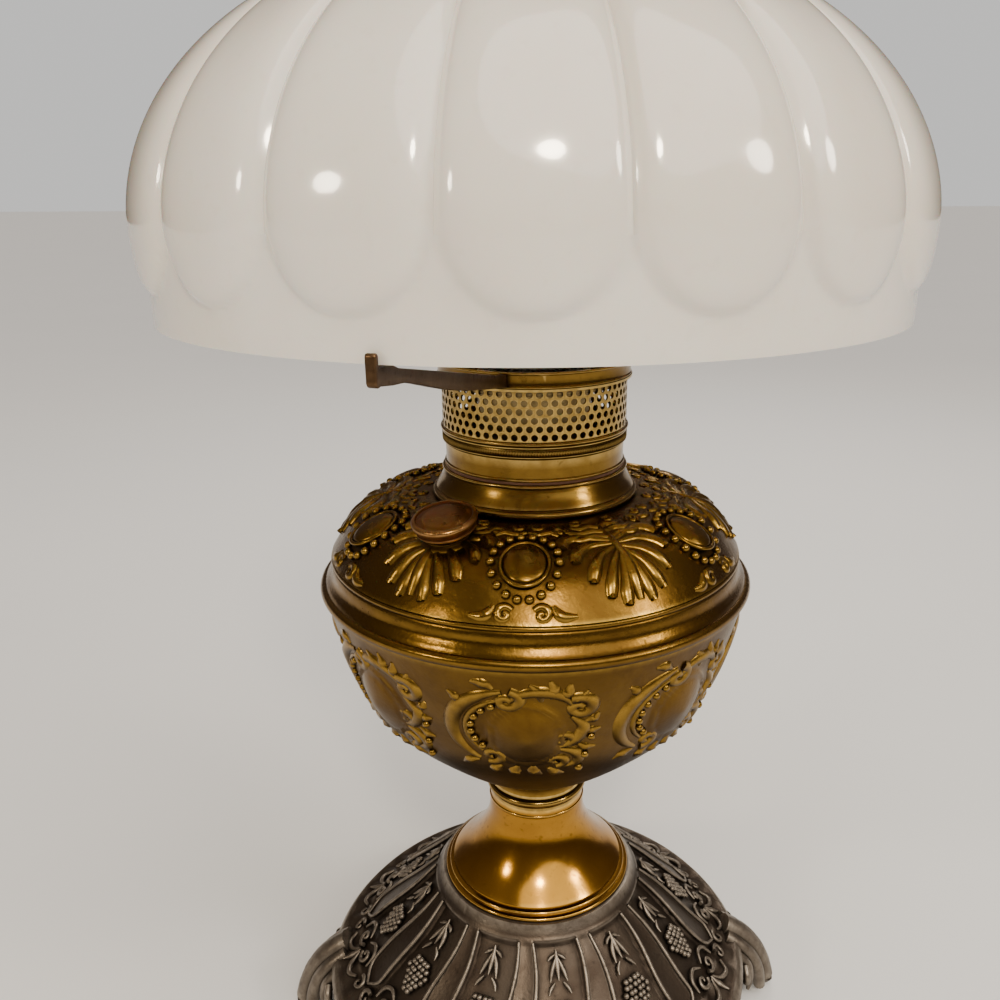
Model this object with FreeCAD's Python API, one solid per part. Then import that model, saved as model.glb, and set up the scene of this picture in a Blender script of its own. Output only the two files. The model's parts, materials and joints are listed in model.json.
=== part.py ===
import FreeCAD, Part
import math
import os

# Parlour oil lamp with a central draught burner.
# Millimetres, +Z up, +X to the right, front of the lamp towards -Y.
# Origin: on the lamp's axis, at the plane that the four feet stand on.
# An azimuth is in degrees from the front (-Y), positive towards +X.

# ---------------------------------------------------------------- driving sizes
# base casting
BASE_HEIGHT = 74.9
RIM_RADIUS = 91.0
RIM_BOTTOM = 9.0
RIM_TOP = 32.0
CASTING_WALL = 4.2
SEAT_RADIUS = 40.5
CASTING_OPENING = 20.0
FOOT_COUNT = 4
FOOT_AZIMUTH = 3.0
FOOT_REACH = 109.5
FOOT_WIDTH = 30.0

# pedestal
CONE_HEIGHT = 37.4
CONE_FOOT_RADIUS = 39.2
CONE_NECK_RADIUS = 19.4
CONE_WALL = 1.1
PLATE_THICKNESS = 2.6
SCREW_COUNT = 3
SCREW_CIRCLE = 26.5
SCREW_RADIUS = 2.0
SCREW_HEAD_RADIUS = 3.6
SCREW_HEAD_HEIGHT = 2.8
WASHER_RADIUS = 4.6
WASHER_THICKNESS = 0.9
NECK_COLLAR_HEIGHT = 6.7
NECK_BEAD_RADIUS = 20.7
NECK_SLEEVE_LENGTH = 8.0

# font
BOWL_NECK_HEIGHT = 8.0
BOWL_HEIGHT = 81.0
BOWL_RADIUS = 80.3
FONT_WALL = 1.0
FLOOR_THICKNESS = 1.2
BELT_HEIGHT = 14.6
BELT_RADIUS = 82.2
BELT_TOP_RADIUS = 77.2
DOME_HEIGHT = 20.5
COLLAR_FOOT_RADIUS = 38.2
COLLAR_HEIGHT = 11.6
COLLAR_TOP_RADIUS = 33.9
COLLAR_BORE = 28.8

# filler
FILLER_AZIMUTH = -32.0
FILLER_RADIUS = 55.0
FILLER_TILT = 13.0
FILLER_BORE = 6.5
FILLER_TUBE_RADIUS = 8.2
FILLER_RISE = 6.0
CAP_RADIUS = 11.3
CAP_HEIGHT = 5.6
CAP_WALL = 0.9
GASKET_THICKNESS = 1.0

# burner and wick
WICK_ROOM = 12.3         # from the draught tube to the collar's bore: wick, tube and rack
TUBE_WALL = 0.8
WICK_THICKNESS = 2.6
WICK_TUBE_HEIGHT = 27.3
WICK_STANDS_PROUD = 1.0
WICK_LENGTH = 140.0
BURNER_BAND_RADIUS = 33.2
BURNER_BAND_HEIGHT = 8.4
BURNER_GASKET = 0.8
SPIGOT_LENGTH = 8.5
SPIGOT_WALL = 1.4
CARRIER_LENGTH = 28.0
CARRIER_WALL = 0.6
RACK_THICKNESS = 1.6
GEAR_MODULE = 0.8
PINION_TEETH = 10
WICK_UP = 5.0
WICK_DOWN = 13.0
SHAFT_RADIUS = 1.5
BUSH_WALL = 1.0
KNOB_AZIMUTH = 180.0
KNOB_RADIUS = 6.4
KNOB_THICKNESS = 4.0
KNOB_STANDOFF = 51.0
KNOB_FLUTES = 18

# gallery
GALLERY_RADIUS = 34.0
GALLERY_WALL = 0.7
GRIP_RING_HEIGHT = 4.3
GRIP_RING_PROUD = 0.3
GRIP_RING_LAND = 2.2      # how far the ring reaches in over the burner's band
GALLERY_HEIGHT = 20.0
CHIMNEY_SEAT_DROP = 1.6
PRONG_COUNT = 4
PRONG_WIDTH = 9.0
PRONG_HEIGHT = 12.0
PRONG_WALL = 0.5

# flame spreader
SPREADER_SPIGOT = 11.0
SPREADER_GAP = 14.5
SPREADER_DISC_RADIUS = 19.5

# chimney
CHIMNEY_LENGTH = 216.0
CHIMNEY_FOOT_RADIUS = 31.7
CHIMNEY_BULGE_RADIUS = 34.0
CHIMNEY_TOP_RADIUS = 22.5
GLASS_WALL = 1.8

# shade holder
HOLDER_RING_HEIGHT = 5.6
HOLDER_RING_WALL = 1.2
ARM_AZIMUTHS = (-17.0, 103.0, -137.0)
ARM_THICKNESS = 2.8
ARM_DEPTH = 4.6
ARM_RISE = 17.0
LEDGE_LENGTH = 6.0
TAB_THICKNESS = 1.9
TAB_HEIGHT = 3.8
TAB_WIDTH = 5.0
RIVET_RADIUS = 1.1

# shade
SHADE_RIM_RADIUS = 127.0
SHADE_RADIUS = 131.5
SHADE_SKIRT = 11.5
SHADE_EQUATOR = 28.0
SHADE_DOME = 87.6
SHADE_WALL = 3.0
SHADE_LOBES = 18
LOBE_DEPTH = 4.4
LOBE_SHOULDER = 0.16   # how far a lobe has fallen halfway to its groove, as a share
DOME_STEPS = 10
CROWN_RADIUS = 41.0
CROWN_HEIGHT = 122.0

# clearances
FIT = 0.05        # a piece that turns or slides in another
SEAM = 0.05       # two soldered pieces of the font
LOOSE = 0.3       # a piece that lifts off another

# ---------------------------------------------------------------- levels worked out from them
CONE_TOP = BASE_HEIGHT + CONE_HEIGHT
NECK_TOP = CONE_TOP + NECK_COLLAR_HEIGHT
BOWL_FLARE = NECK_TOP + BOWL_NECK_HEIGHT
BOWL_TOP = BOWL_FLARE + BOWL_HEIGHT
BELT_TOP = BOWL_TOP + BELT_HEIGHT
DOME_TOP = BELT_TOP + DOME_HEIGHT
COLLAR_TOP = DOME_TOP + COLLAR_HEIGHT
BURNER_SEAT = COLLAR_TOP + BURNER_GASKET
BURNER_TOP = BURNER_SEAT + BURNER_BAND_HEIGHT
GRIP_TOP = BURNER_TOP + GRIP_RING_HEIGHT
GALLERY_TOP = GRIP_TOP + GALLERY_HEIGHT
WICK_TUBE_TOP = BURNER_TOP + WICK_TUBE_HEIGHT
CHIMNEY_SEAT = GALLERY_TOP - CHIMNEY_SEAT_DROP
HOLDER_BOTTOM = GALLERY_TOP
LEDGE_TOP = HOLDER_BOTTOM + HOLDER_RING_HEIGHT + ARM_RISE
SHADE_TOP = LEDGE_TOP + CROWN_HEIGHT

SCREW_HOLE = SCREW_RADIUS + LOOSE
DRAFT_RADIUS = COLLAR_BORE - WICK_ROOM
GRIP_RING_RADIUS = GALLERY_RADIUS + GRIP_RING_PROUD
CARRIER_BORE = DRAFT_RADIUS + FIT
WICK_BORE = CARRIER_BORE + CARRIER_WALL + FIT
WICK_RADIUS = WICK_BORE + WICK_THICKNESS
WICK_TUBE_BORE = WICK_RADIUS + LOOSE
WICK_TUBE_RADIUS = WICK_TUBE_BORE + TUBE_WALL
SPIGOT_RADIUS = COLLAR_BORE - LOOSE
SHAFT_LEVEL = BURNER_SEAT + BURNER_BAND_HEIGHT / 2
RACK_FACE = WICK_TUBE_RADIUS + 0.8
PITCH_RADIUS = GEAR_MODULE * PINION_TEETH / 2
HOLDER_BORE = GALLERY_RADIUS + LOOSE
HOLDER_RING_RADIUS = HOLDER_BORE + HOLDER_RING_WALL

UP = FreeCAD.Vector(0, 0, 1)
ORIGIN = FreeCAD.Vector(0, 0, 0)


# ---------------------------------------------------------------- helpers
def smooth(*points):
    """A stretch of outline that is one smooth curve through (radius, height) points."""
    return "smooth", points


def straight(*points):
    """A stretch of outline made of straight lines between (radius, height) points."""
    return "straight", points


def curve_through(points):
    """A smooth curve through (radius, height) points in the XZ plane."""
    curve = Part.BSplineCurve()
    curve.interpolate([FreeCAD.Vector(r, 0, z) for r, z in points])
    return curve


def inset(points, wall):
    """The same curve moved to its left by a wall, and listed from its far end back."""
    curve = curve_through(points)
    moved = []
    for r, z in points:
        tangent = curve.tangent(curve.parameter(FreeCAD.Vector(r, 0, z)))[0]
        moved.append((r - wall * tangent.z, z + wall * tangent.x))
    return list(reversed(moved))


def outline_face(stretches):
    """A face in the XZ plane, bounded by the stretches joined end to end."""
    edges = []
    first = FreeCAD.Vector(stretches[0][1][0][0], 0, stretches[0][1][0][1])
    last = None
    for kind, points in stretches:
        corners = [FreeCAD.Vector(r, 0, z) for r, z in points]
        if last is not None and last.distanceToPoint(corners[0]) > 1e-6:
            edges.append(Part.LineSegment(last, corners[0]).toShape())
        if kind == "smooth":
            edges.append(curve_through(points).toShape())
        else:
            for start, end in zip(corners, corners[1:]):
                edges.append(Part.LineSegment(start, end).toShape())
        last = corners[-1]
    if last.distanceToPoint(first) > 1e-6:
        edges.append(Part.LineSegment(last, first).toShape())
    return Part.Face(Part.Wire(edges))


def turned(*stretches):
    """A solid of revolution about the Z axis from a closed outline."""
    solid = outline_face(stretches).revolve(ORIGIN, UP, 360)
    if solid.Volume < 0:
        solid.reverse()
    return solid


def tube(outer, inner, bottom, top):
    """A plain round tube on the Z axis."""
    return turned(straight((inner, bottom), (outer, bottom), (outer, top), (inner, top)))


def at_azimuth(shape, azimuth):
    """A copy of a shape that was made at the front, turned to an azimuth."""
    copy = shape.copy()
    copy.rotate(ORIGIN, UP, azimuth)
    return copy


def around(shape, count, start=0.0):
    """Copies of a shape, evenly spaced round the Z axis."""
    return [at_azimuth(shape, start + 360.0 * index / count) for index in range(count)]


def facing_front(shape, level):
    """A shape made on the Z axis, laid down to point at the front at a level."""
    copy = shape.copy()
    copy.rotate(ORIGIN, FreeCAD.Vector(1, 0, 0), 90)
    copy.translate(FreeCAD.Vector(0, 0, level))
    return copy


def block(x_range, y_range, z_range):
    """A box between two values on each axis."""
    size = [high - low for low, high in (x_range, y_range, z_range)]
    corner = FreeCAD.Vector(x_range[0], y_range[0], z_range[0])
    return Part.makeBox(size[0], size[1], size[2], corner)


def slab(bottom, top):
    """A slice of space between two levels, wide enough to trim any piece."""
    reach = 2 * SHADE_RADIUS
    return block((-reach, reach), (-reach, reach), (bottom, top))


def scaled_form(form, start, end):
    """A form given in shares of a width and a height, laid between two points."""
    width = end[0] - start[0]
    height = end[1] - start[1]
    return [(start[0] + u * width, start[1] + v * height) for u, v in form]


# ---------------------------------------------------------------- base and pedestal
def dome_line():
    """Outside of the base casting from its rim up to its seat."""
    form = [(0.0, 0.0), (0.14, 0.04), (0.26, 0.15), (0.47, 0.39), (0.72, 0.68), (1.0, 1.0)]
    return scaled_form(form, (RIM_RADIUS - 2.5, RIM_TOP), (SEAT_RADIUS + 2.0, BASE_HEIGHT - 3.9))


def foot():
    """One curled foot, at the front: a toe that droops from the rim to the ground."""
    toe = FOOT_REACH
    line = [(RIM_RADIUS - 6.0, RIM_TOP - 1.0), (toe - 17.5, RIM_TOP), (toe - 11.0, RIM_TOP - 7.0),
            (toe - 5.5, RIM_TOP - 13.5), (toe - 1.5, RIM_TOP - 20.5), (toe, 5.5), (toe - 1.6, 1.0),
            (toe - 3.6, 0.0)]
    under = [(toe - 6.5, 0.0), (toe - 8.4, 2.5), (toe - 10.0, 8.5), (toe - 14.0, 12.0),
             (RIM_RADIUS - 4.0, 13.0)]
    face = outline_face([smooth(*line), smooth(*under)])
    body = face.extrude(FreeCAD.Vector(0, FOOT_WIDTH, 0))
    body.translate(FreeCAD.Vector(0, -FOOT_WIDTH / 2, 0))
    body.rotate(ORIGIN, UP, -90)
    return body


def base_casting():
    """Cast iron base: a hollow dome with a rim, four feet and a flat seat on top."""
    dome = dome_line()
    inside = inset(dome, CASTING_WALL)
    flange_bottom = BASE_HEIGHT - CASTING_WALL
    shell = turned(
        straight((RIM_RADIUS, RIM_BOTTOM), (RIM_RADIUS, RIM_TOP - 2.5)),
        smooth(*dome),
        straight((SEAT_RADIUS, BASE_HEIGHT), (CASTING_OPENING, BASE_HEIGHT),
                 (CASTING_OPENING, flange_bottom), (SEAT_RADIUS - 3.5, flange_bottom)),
        smooth(*inside),
        straight((RIM_RADIUS - CASTING_WALL, RIM_TOP - 6.0), (RIM_RADIUS - CASTING_WALL, RIM_BOTTOM)))
    casting = shell.fuse(around(foot(), FOOT_COUNT, FOOT_AZIMUTH))
    holes = around(Part.makeCylinder(SCREW_HOLE, 20, FreeCAD.Vector(0, -SCREW_CIRCLE, BASE_HEIGHT - 15)),
                   SCREW_COUNT)
    return casting.cut(holes).removeSplitter()


def pedestal_plate():
    """Brass ring plate inside the foot of the cone, tapped for the base screws."""
    plate = tube(CONE_FOOT_RADIUS - 4.6, CASTING_OPENING, BASE_HEIGHT, BASE_HEIGHT + PLATE_THICKNESS)
    hole = Part.makeCylinder(SCREW_RADIUS + FIT, 20, FreeCAD.Vector(0, -SCREW_CIRCLE, BASE_HEIGHT - 5))
    return plate.cut(around(hole, SCREW_COUNT))


def base_washers():
    """Washers under the screw heads, inside the casting."""
    top = BASE_HEIGHT - CASTING_WALL
    washer = tube(WASHER_RADIUS, SCREW_RADIUS + FIT, top - WASHER_THICKNESS, top)
    washer.translate(FreeCAD.Vector(0, -SCREW_CIRCLE, 0))
    return Part.makeCompound(around(washer, SCREW_COUNT))


def base_screws():
    """Cheese-head screws that draw the pedestal down on to the casting."""
    head_top = BASE_HEIGHT - CASTING_WALL - WASHER_THICKNESS
    head_bottom = head_top - SCREW_HEAD_HEIGHT
    tip = BASE_HEIGHT + PLATE_THICKNESS + 1.5
    screw = turned(straight((0, head_bottom), (SCREW_HEAD_RADIUS, head_bottom), (SCREW_HEAD_RADIUS, head_top),
                            (SCREW_RADIUS, head_top), (SCREW_RADIUS, tip), (0, tip)))
    slot = block((-SCREW_HEAD_RADIUS, SCREW_HEAD_RADIUS), (-0.5, 0.5), (head_bottom - 1, head_bottom + 1.2))
    screw = screw.cut(slot)
    screw.translate(FreeCAD.Vector(0, -SCREW_CIRCLE, 0))
    return Part.makeCompound(around(screw, SCREW_COUNT))


def pedestal_cone():
    """Spun brass pedestal: a moulded foot and a flaring cone that ends in a neck."""
    foot_r = CONE_FOOT_RADIUS
    form = [(0.0, 0.0), (0.44, 0.24), (0.76, 0.49), (0.94, 0.73), (1.0, 1.0)]
    flare = scaled_form(form, (foot_r - 3.6, BASE_HEIGHT + 4.4), (CONE_NECK_RADIUS, CONE_TOP - 4.0))
    inner = inset(flare, CONE_WALL)
    return turned(
        straight((foot_r - 3.6, BASE_HEIGHT), (foot_r, BASE_HEIGHT), (foot_r, BASE_HEIGHT + 1.0),
                 (foot_r - 1.6, BASE_HEIGHT + 1.9), (foot_r - 1.9, BASE_HEIGHT + 2.9),
                 (foot_r - 3.2, BASE_HEIGHT + 3.5)),
        smooth(*flare),
        straight((CONE_NECK_RADIUS, CONE_TOP - 3.4), (CONE_NECK_RADIUS + 0.5, CONE_TOP - 2.6),
                 (CONE_NECK_RADIUS, CONE_TOP - 1.8), (CONE_NECK_RADIUS, CONE_TOP),
                 (CONE_NECK_RADIUS - CONE_WALL, CONE_TOP)),
        smooth(*inner))


def neck_collar():
    """Beaded ring between pedestal and font, with a sleeve down inside the cone."""
    sleeve = CONE_NECK_RADIUS - CONE_WALL - SEAM
    bore = sleeve - 1.2
    middle = (CONE_TOP + NECK_TOP) / 2
    bead = [(CONE_NECK_RADIUS + 0.2, middle - 1.8), (NECK_BEAD_RADIUS, middle),
            (CONE_NECK_RADIUS + 0.2, middle + 1.8)]
    return turned(
        straight((bore, CONE_TOP - NECK_SLEEVE_LENGTH), (sleeve, CONE_TOP - NECK_SLEEVE_LENGTH),
                 (sleeve, CONE_TOP), (CONE_NECK_RADIUS, CONE_TOP)),
        smooth(*bead),
        straight((CONE_NECK_RADIUS, NECK_TOP), (bore, NECK_TOP)))


# ---------------------------------------------------------------- font
def bowl_line():
    """Outside of the font bowl from its neck to the belt."""
    form = [(0.0, 0.0), (0.2, 0.05), (0.52, 0.25), (0.76, 0.445), (0.87, 0.65), (0.95, 0.85), (1.0, 1.0)]
    return scaled_form(form, (CONE_NECK_RADIUS, BOWL_FLARE), (BOWL_RADIUS, BOWL_TOP))


def font_bowl():
    """Lower half of the oil font: a thin brass bowl with a short floored neck."""
    line = bowl_line()
    floor_top = NECK_TOP + FLOOR_THICKNESS
    neck_bore = CONE_NECK_RADIUS - FONT_WALL
    bowl = turned(
        straight((DRAFT_RADIUS + SEAM, NECK_TOP), (CONE_NECK_RADIUS, NECK_TOP)),
        smooth(*line),
        smooth(*inset(line, FONT_WALL)),
        straight((neck_bore, BOWL_FLARE - 1.0), (neck_bore, floor_top), (DRAFT_RADIUS + SEAM, floor_top)))
    return bowl.cut(slab(BOWL_TOP, BOWL_TOP + 5.0))


def font_belt():
    """Rolled belt that joins the two halves of the font: bead, hollow band, bead."""
    bottom = BOWL_TOP + SEAM
    bowl_r = BOWL_RADIUS
    height = BELT_TOP - bottom
    return turned(
        straight((bowl_r - 3.0, bottom), (bowl_r - 0.6, bottom)),
        smooth((bowl_r - 0.4, bottom + 0.6), (BELT_RADIUS, bottom + 0.25 * height),
               (bowl_r - 1.2, bottom + 0.5 * height)),
        smooth((bowl_r - 1.6, bottom + 0.56 * height), (BELT_TOP_RADIUS + 0.1, bottom + 0.82 * height),
               (BELT_TOP_RADIUS, BELT_TOP - SEAM)),
        straight((BELT_TOP_RADIUS - 2.4, BELT_TOP - SEAM), (BELT_TOP_RADIUS - 3.2, bottom + 0.5 * height)))


def dome_top_line():
    """Outside of the font's upper half, from the belt in to its flat crown."""
    form = [(0.0, 0.0), (0.08, 0.22), (0.235, 0.59), (0.38, 0.78), (0.67, 0.94), (1.0, 1.0)]
    return scaled_form(form, (BELT_TOP_RADIUS, BELT_TOP), (COLLAR_FOOT_RADIUS + 1.0, DOME_TOP))


def font_dome():
    """Upper half of the font, with a flat crown for the collar and a filler hole."""
    line = dome_top_line()
    shell = turned(
        smooth(*line),
        straight((COLLAR_BORE, DOME_TOP), (COLLAR_BORE, DOME_TOP - FONT_WALL)),
        smooth(*inset(line, FONT_WALL)))
    hole = Part.makeCylinder(FILLER_TUBE_RADIUS + SEAM, 60, FreeCAD.Vector(0, 0, -30))
    return shell.cut([on_filler_axis(hole), slab(BELT_TOP - 5.0, BELT_TOP)])


def font_collar():
    """Threaded brass collar on the font: a bead, a flaring band and a rolled lip."""
    foot_r = COLLAR_FOOT_RADIUS
    top_r = COLLAR_TOP_RADIUS
    return turned(
        straight((COLLAR_BORE, DOME_TOP), (foot_r - 0.6, DOME_TOP)),
        smooth((foot_r, DOME_TOP + 0.8), (foot_r + 0.2, DOME_TOP + 1.6), (foot_r - 0.7, DOME_TOP + 3.0)),
        smooth((foot_r - 1.0, DOME_TOP + 3.4), (foot_r - 2.9, DOME_TOP + 6.6), (top_r, COLLAR_TOP - 1.8)),
        straight((top_r + 0.5, COLLAR_TOP - 1.2), (top_r + 0.5, COLLAR_TOP), (COLLAR_BORE, COLLAR_TOP)))


# ---------------------------------------------------------------- filler
def filler_level():
    """Height of the font's outside where the filler's axis meets it."""
    curve = curve_through(dome_top_line())
    low, high = curve.FirstParameter, curve.LastParameter
    for _ in range(40):
        middle = (low + high) / 2
        if curve.value(middle).x > FILLER_RADIUS:
            low = middle
        else:
            high = middle
    return curve.value((low + high) / 2).z


def on_filler_axis(shape):
    """A shape made on the Z axis, moved to the filler's tilted axis."""
    copy = shape.copy()
    copy.rotate(ORIGIN, FreeCAD.Vector(1, 0, 0), FILLER_TILT)
    copy.translate(FreeCAD.Vector(0, -FILLER_RADIUS, filler_level()))
    return at_azimuth(copy, FILLER_AZIMUTH)


def filler_neck():
    """Short threaded tube through the font, with a curb that sits on its outside."""
    curb = CAP_RADIUS + 0.3
    tube_r = FILLER_TUBE_RADIUS
    neck = on_filler_axis(tube(tube_r, FILLER_BORE, -4.0, FILLER_RISE))
    ring = on_filler_axis(tube(curb, tube_r - 0.1, -6.0, 1.4))
    font = turned(smooth(*dome_top_line()), straight((0, DOME_TOP), (0, BELT_TOP)))
    font.translate(FreeCAD.Vector(0, 0, SEAM))
    return neck.fuse(ring.cut(font)).removeSplitter()


def filler_gasket():
    """Cork washer between the filler tube and its cap."""
    return on_filler_axis(tube(FILLER_TUBE_RADIUS + 0.8, FILLER_BORE, FILLER_RISE, FILLER_RISE + GASKET_THICKNESS))


def filler_cap():
    """Screw cap: a shallow disc with a rolled edge and a skirt down over the tube."""
    under = FILLER_RISE + GASKET_THICKNESS
    top = under + CAP_WALL
    skirt = top - CAP_HEIGHT + CAP_WALL
    inner = FILLER_TUBE_RADIUS + LOOSE
    relief = FILLER_TUBE_RADIUS + 0.8 + LOOSE
    cap = turned(
        straight((0, under), (relief, under), (relief, FILLER_RISE - 0.6), (inner, FILLER_RISE - 0.9),
                 (inner, skirt), (CAP_RADIUS - 1.2, skirt), (CAP_RADIUS - 1.0, skirt + 1.4)),
        smooth((CAP_RADIUS - 0.2, skirt + 1.9), (CAP_RADIUS, skirt + 2.9), (CAP_RADIUS - 0.7, top)),
        straight((CAP_RADIUS - 1.6, top - 0.2)),
        smooth((CAP_RADIUS - 2.2, top - 0.1), (CAP_RADIUS / 2, top + 0.5), (0, top + 0.8)))
    return on_filler_axis(cap)


# ---------------------------------------------------------------- burner and wick
def draft_tube():
    """Central air tube from the pedestal up through the font to the flame."""
    floor = NECK_TOP + FLOOR_THICKNESS
    body = tube(DRAFT_RADIUS, DRAFT_RADIUS - TUBE_WALL, NECK_TOP - 2.0, WICK_TUBE_TOP)
    flange = tube(CONE_NECK_RADIUS - FONT_WALL - SEAM, DRAFT_RADIUS - TUBE_WALL, floor, floor + FLOOR_THICKNESS)
    return body.fuse(flange).removeSplitter()


def burner_gasket():
    """Flat fibre ring between the font's collar and the burner."""
    return tube(COLLAR_TOP_RADIUS - 0.4, COLLAR_BORE, COLLAR_TOP, BURNER_SEAT)


def spigot_bottom():
    """Underside of the burner's threaded spigot."""
    return BURNER_SEAT - SPIGOT_LENGTH


def rack_right():
    """Side of the rack away from the pinion."""
    return PITCH_RADIUS + GEAR_MODULE + 2.2


def burner_base():
    """Burner body: an outer band, a spigot into the collar and a floor round the wick tube."""
    bottom = spigot_bottom()
    band_bore = BURNER_BAND_RADIUS - 1.6
    spigot_bore = SPIGOT_RADIUS - SPIGOT_WALL
    body = turned(straight(
        (WICK_TUBE_RADIUS + SEAM, bottom), (SPIGOT_RADIUS, bottom), (SPIGOT_RADIUS, BURNER_SEAT),
        (BURNER_BAND_RADIUS + 0.4, BURNER_SEAT), (BURNER_BAND_RADIUS + 0.4, BURNER_SEAT + 1.0),
        (BURNER_BAND_RADIUS, BURNER_SEAT + 1.4), (BURNER_BAND_RADIUS, BURNER_TOP), (band_bore, BURNER_TOP),
        (band_bore, BURNER_SEAT + 1.2), (spigot_bore, BURNER_SEAT + 1.2), (spigot_bore, bottom + 1.3),
        (WICK_TUBE_RADIUS + SEAM, bottom + 1.3)))
    shaft_hole = facing_front(Part.makeCylinder(SHAFT_RADIUS + BUSH_WALL + SEAM, 60), SHAFT_LEVEL)
    rack_slot = block((PITCH_RADIUS - GEAR_MODULE - LOOSE, rack_right() + LOOSE),
                      (-RACK_FACE - RACK_THICKNESS - LOOSE, -RACK_FACE + LOOSE), (bottom - 1, bottom + 3))
    return body.cut([at_azimuth(shaft_hole, KNOB_AZIMUTH), at_azimuth(rack_slot, KNOB_AZIMUTH)])


def outer_wick_tube():
    """Tube outside the wick, soldered into the burner's floor."""
    return tube(WICK_TUBE_RADIUS, WICK_TUBE_BORE, spigot_bottom(), WICK_TUBE_TOP - 0.6)


def knob_bush():
    """Flanged bush that carries the knob's shaft through the burner's band."""
    outer = SHAFT_RADIUS + BUSH_WALL
    inside = BURNER_BAND_RADIUS - 2.4
    flange = BURNER_BAND_RADIUS + 0.6
    bush = turned(straight((SHAFT_RADIUS + FIT, inside), (outer, inside), (outer, flange), (outer + 1.4, flange),
                           (outer + 1.4, flange + 1.0), (outer, flange + 1.6), (outer, flange + 5.0),
                           (SHAFT_RADIUS + FIT, flange + 5.0)))
    return at_azimuth(facing_front(bush, SHAFT_LEVEL), KNOB_AZIMUTH)


def lug_level():
    """Height of the carrier's lug, low enough to clear the burner's floor when raised."""
    return spigot_bottom() - WICK_UP - 9.0


def wick_carrier():
    """Sleeve on the draught tube that grips the wick, with a lug for the rack."""
    level = lug_level()
    sleeve = tube(CARRIER_BORE + CARRIER_WALL, CARRIER_BORE, level - CARRIER_LENGTH / 2, level + CARRIER_LENGTH / 2)
    lug = block((PITCH_RADIUS + GEAR_MODULE, rack_right()), (-RACK_FACE, -DRAFT_RADIUS + 2.5), (level, level + 5.0))
    bore = Part.makeCylinder(CARRIER_BORE, 20, FreeCAD.Vector(0, 0, level - 5))
    return sleeve.fuse(at_azimuth(lug.cut(bore), KNOB_AZIMUTH)).removeSplitter()


def wick():
    """Round woven wick, slit where the carrier's lug passes through it."""
    top = WICK_TUBE_TOP + WICK_STANDS_PROUD
    body = tube(WICK_RADIUS, WICK_BORE, top - WICK_LENGTH, top)
    level = lug_level()
    slit = block((PITCH_RADIUS + GEAR_MODULE - LOOSE, rack_right() + LOOSE), (-WICK_RADIUS - 1, -8.0),
                 (level - LOOSE, level + 5.0 + LOOSE))
    return body.cut(at_azimuth(slit, KNOB_AZIMUTH))


def rack_outline():
    """Rack in the XZ plane: teeth towards the pinion, with a tooth space at its centre."""
    pitch = math.pi * GEAR_MODULE
    slope = math.tan(math.radians(20))
    tip = 0.55 * GEAR_MODULE
    root = 1.15 * GEAR_MODULE
    half = pitch / 4 - 0.06
    low = -int((WICK_UP + 3.0) / pitch) - 1
    high = int((WICK_DOWN + 3.0) / pitch) + 1
    points = [(rack_right(), lug_level()), (PITCH_RADIUS + root, lug_level())]
    for index in range(low, high):
        centre = SHAFT_LEVEL + (index + 0.5) * pitch
        points.append((PITCH_RADIUS + root, centre - half - slope * root))
        points.append((PITCH_RADIUS - tip, centre - half + slope * tip))
        points.append((PITCH_RADIUS - tip, centre + half - slope * tip))
        points.append((PITCH_RADIUS + root, centre + half + slope * root))
    top = SHAFT_LEVEL + high * pitch + 0.5
    points.append((PITCH_RADIUS + root, top))
    points.append((rack_right(), top))
    return points


def wick_rack():
    """Toothed strip that stands on the carrier's lug, outside the wick tube."""
    strip = outline_face([straight(*rack_outline())]).extrude(FreeCAD.Vector(0, -RACK_THICKNESS, 0))
    strip.translate(FreeCAD.Vector(0, -RACK_FACE, 0))
    return at_azimuth(strip, KNOB_AZIMUTH)


def tooth_half_angle(radius):
    """Half of the angle that an involute pinion tooth takes up at a radius."""
    pressure = math.radians(20)
    base = PITCH_RADIUS * math.cos(pressure)
    local = math.acos(min(1.0, base / radius))
    thickness = math.pi * GEAR_MODULE / 2 - 0.12
    roll = (math.tan(pressure) - pressure) - (math.tan(local) - local)
    return thickness / (2 * PITCH_RADIUS) + roll


def wick_pinion():
    """Small involute pinion on the inner end of the knob's shaft."""
    tip = PITCH_RADIUS + 0.85 * GEAR_MODULE
    root = PITCH_RADIUS - 0.85 * GEAR_MODULE
    base = PITCH_RADIUS * math.cos(math.radians(20))
    radii = [root, base + 0.02, PITCH_RADIUS, tip]
    corners = []
    for tooth in range(PINION_TEETH):
        centre = 2 * math.pi * tooth / PINION_TEETH
        for radius in radii:
            corners.append((radius, centre - tooth_half_angle(max(radius, base))))
        for radius in reversed(radii):
            corners.append((radius, centre + tooth_half_angle(max(radius, base))))
    outline = [(radius * math.cos(angle), SHAFT_LEVEL + radius * math.sin(angle)) for radius, angle in corners]
    width = RACK_THICKNESS + 0.4
    gear = outline_face([straight(*outline)]).extrude(FreeCAD.Vector(0, -width, 0))
    gear.translate(FreeCAD.Vector(0, -RACK_FACE + 0.2, 0))
    bore = facing_front(Part.makeCylinder(SHAFT_RADIUS + 0.01, 60), SHAFT_LEVEL)
    return at_azimuth(gear.cut(bore), KNOB_AZIMUTH)


def knob_shaft():
    """Steel spindle from the pinion out through the bush to the knob."""
    start = RACK_FACE - 0.2
    spindle = Part.makeCylinder(SHAFT_RADIUS, KNOB_STANDOFF + KNOB_THICKNESS - 0.6 - start,
                                FreeCAD.Vector(0, 0, start))
    return at_azimuth(facing_front(spindle, SHAFT_LEVEL), KNOB_AZIMUTH)


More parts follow.
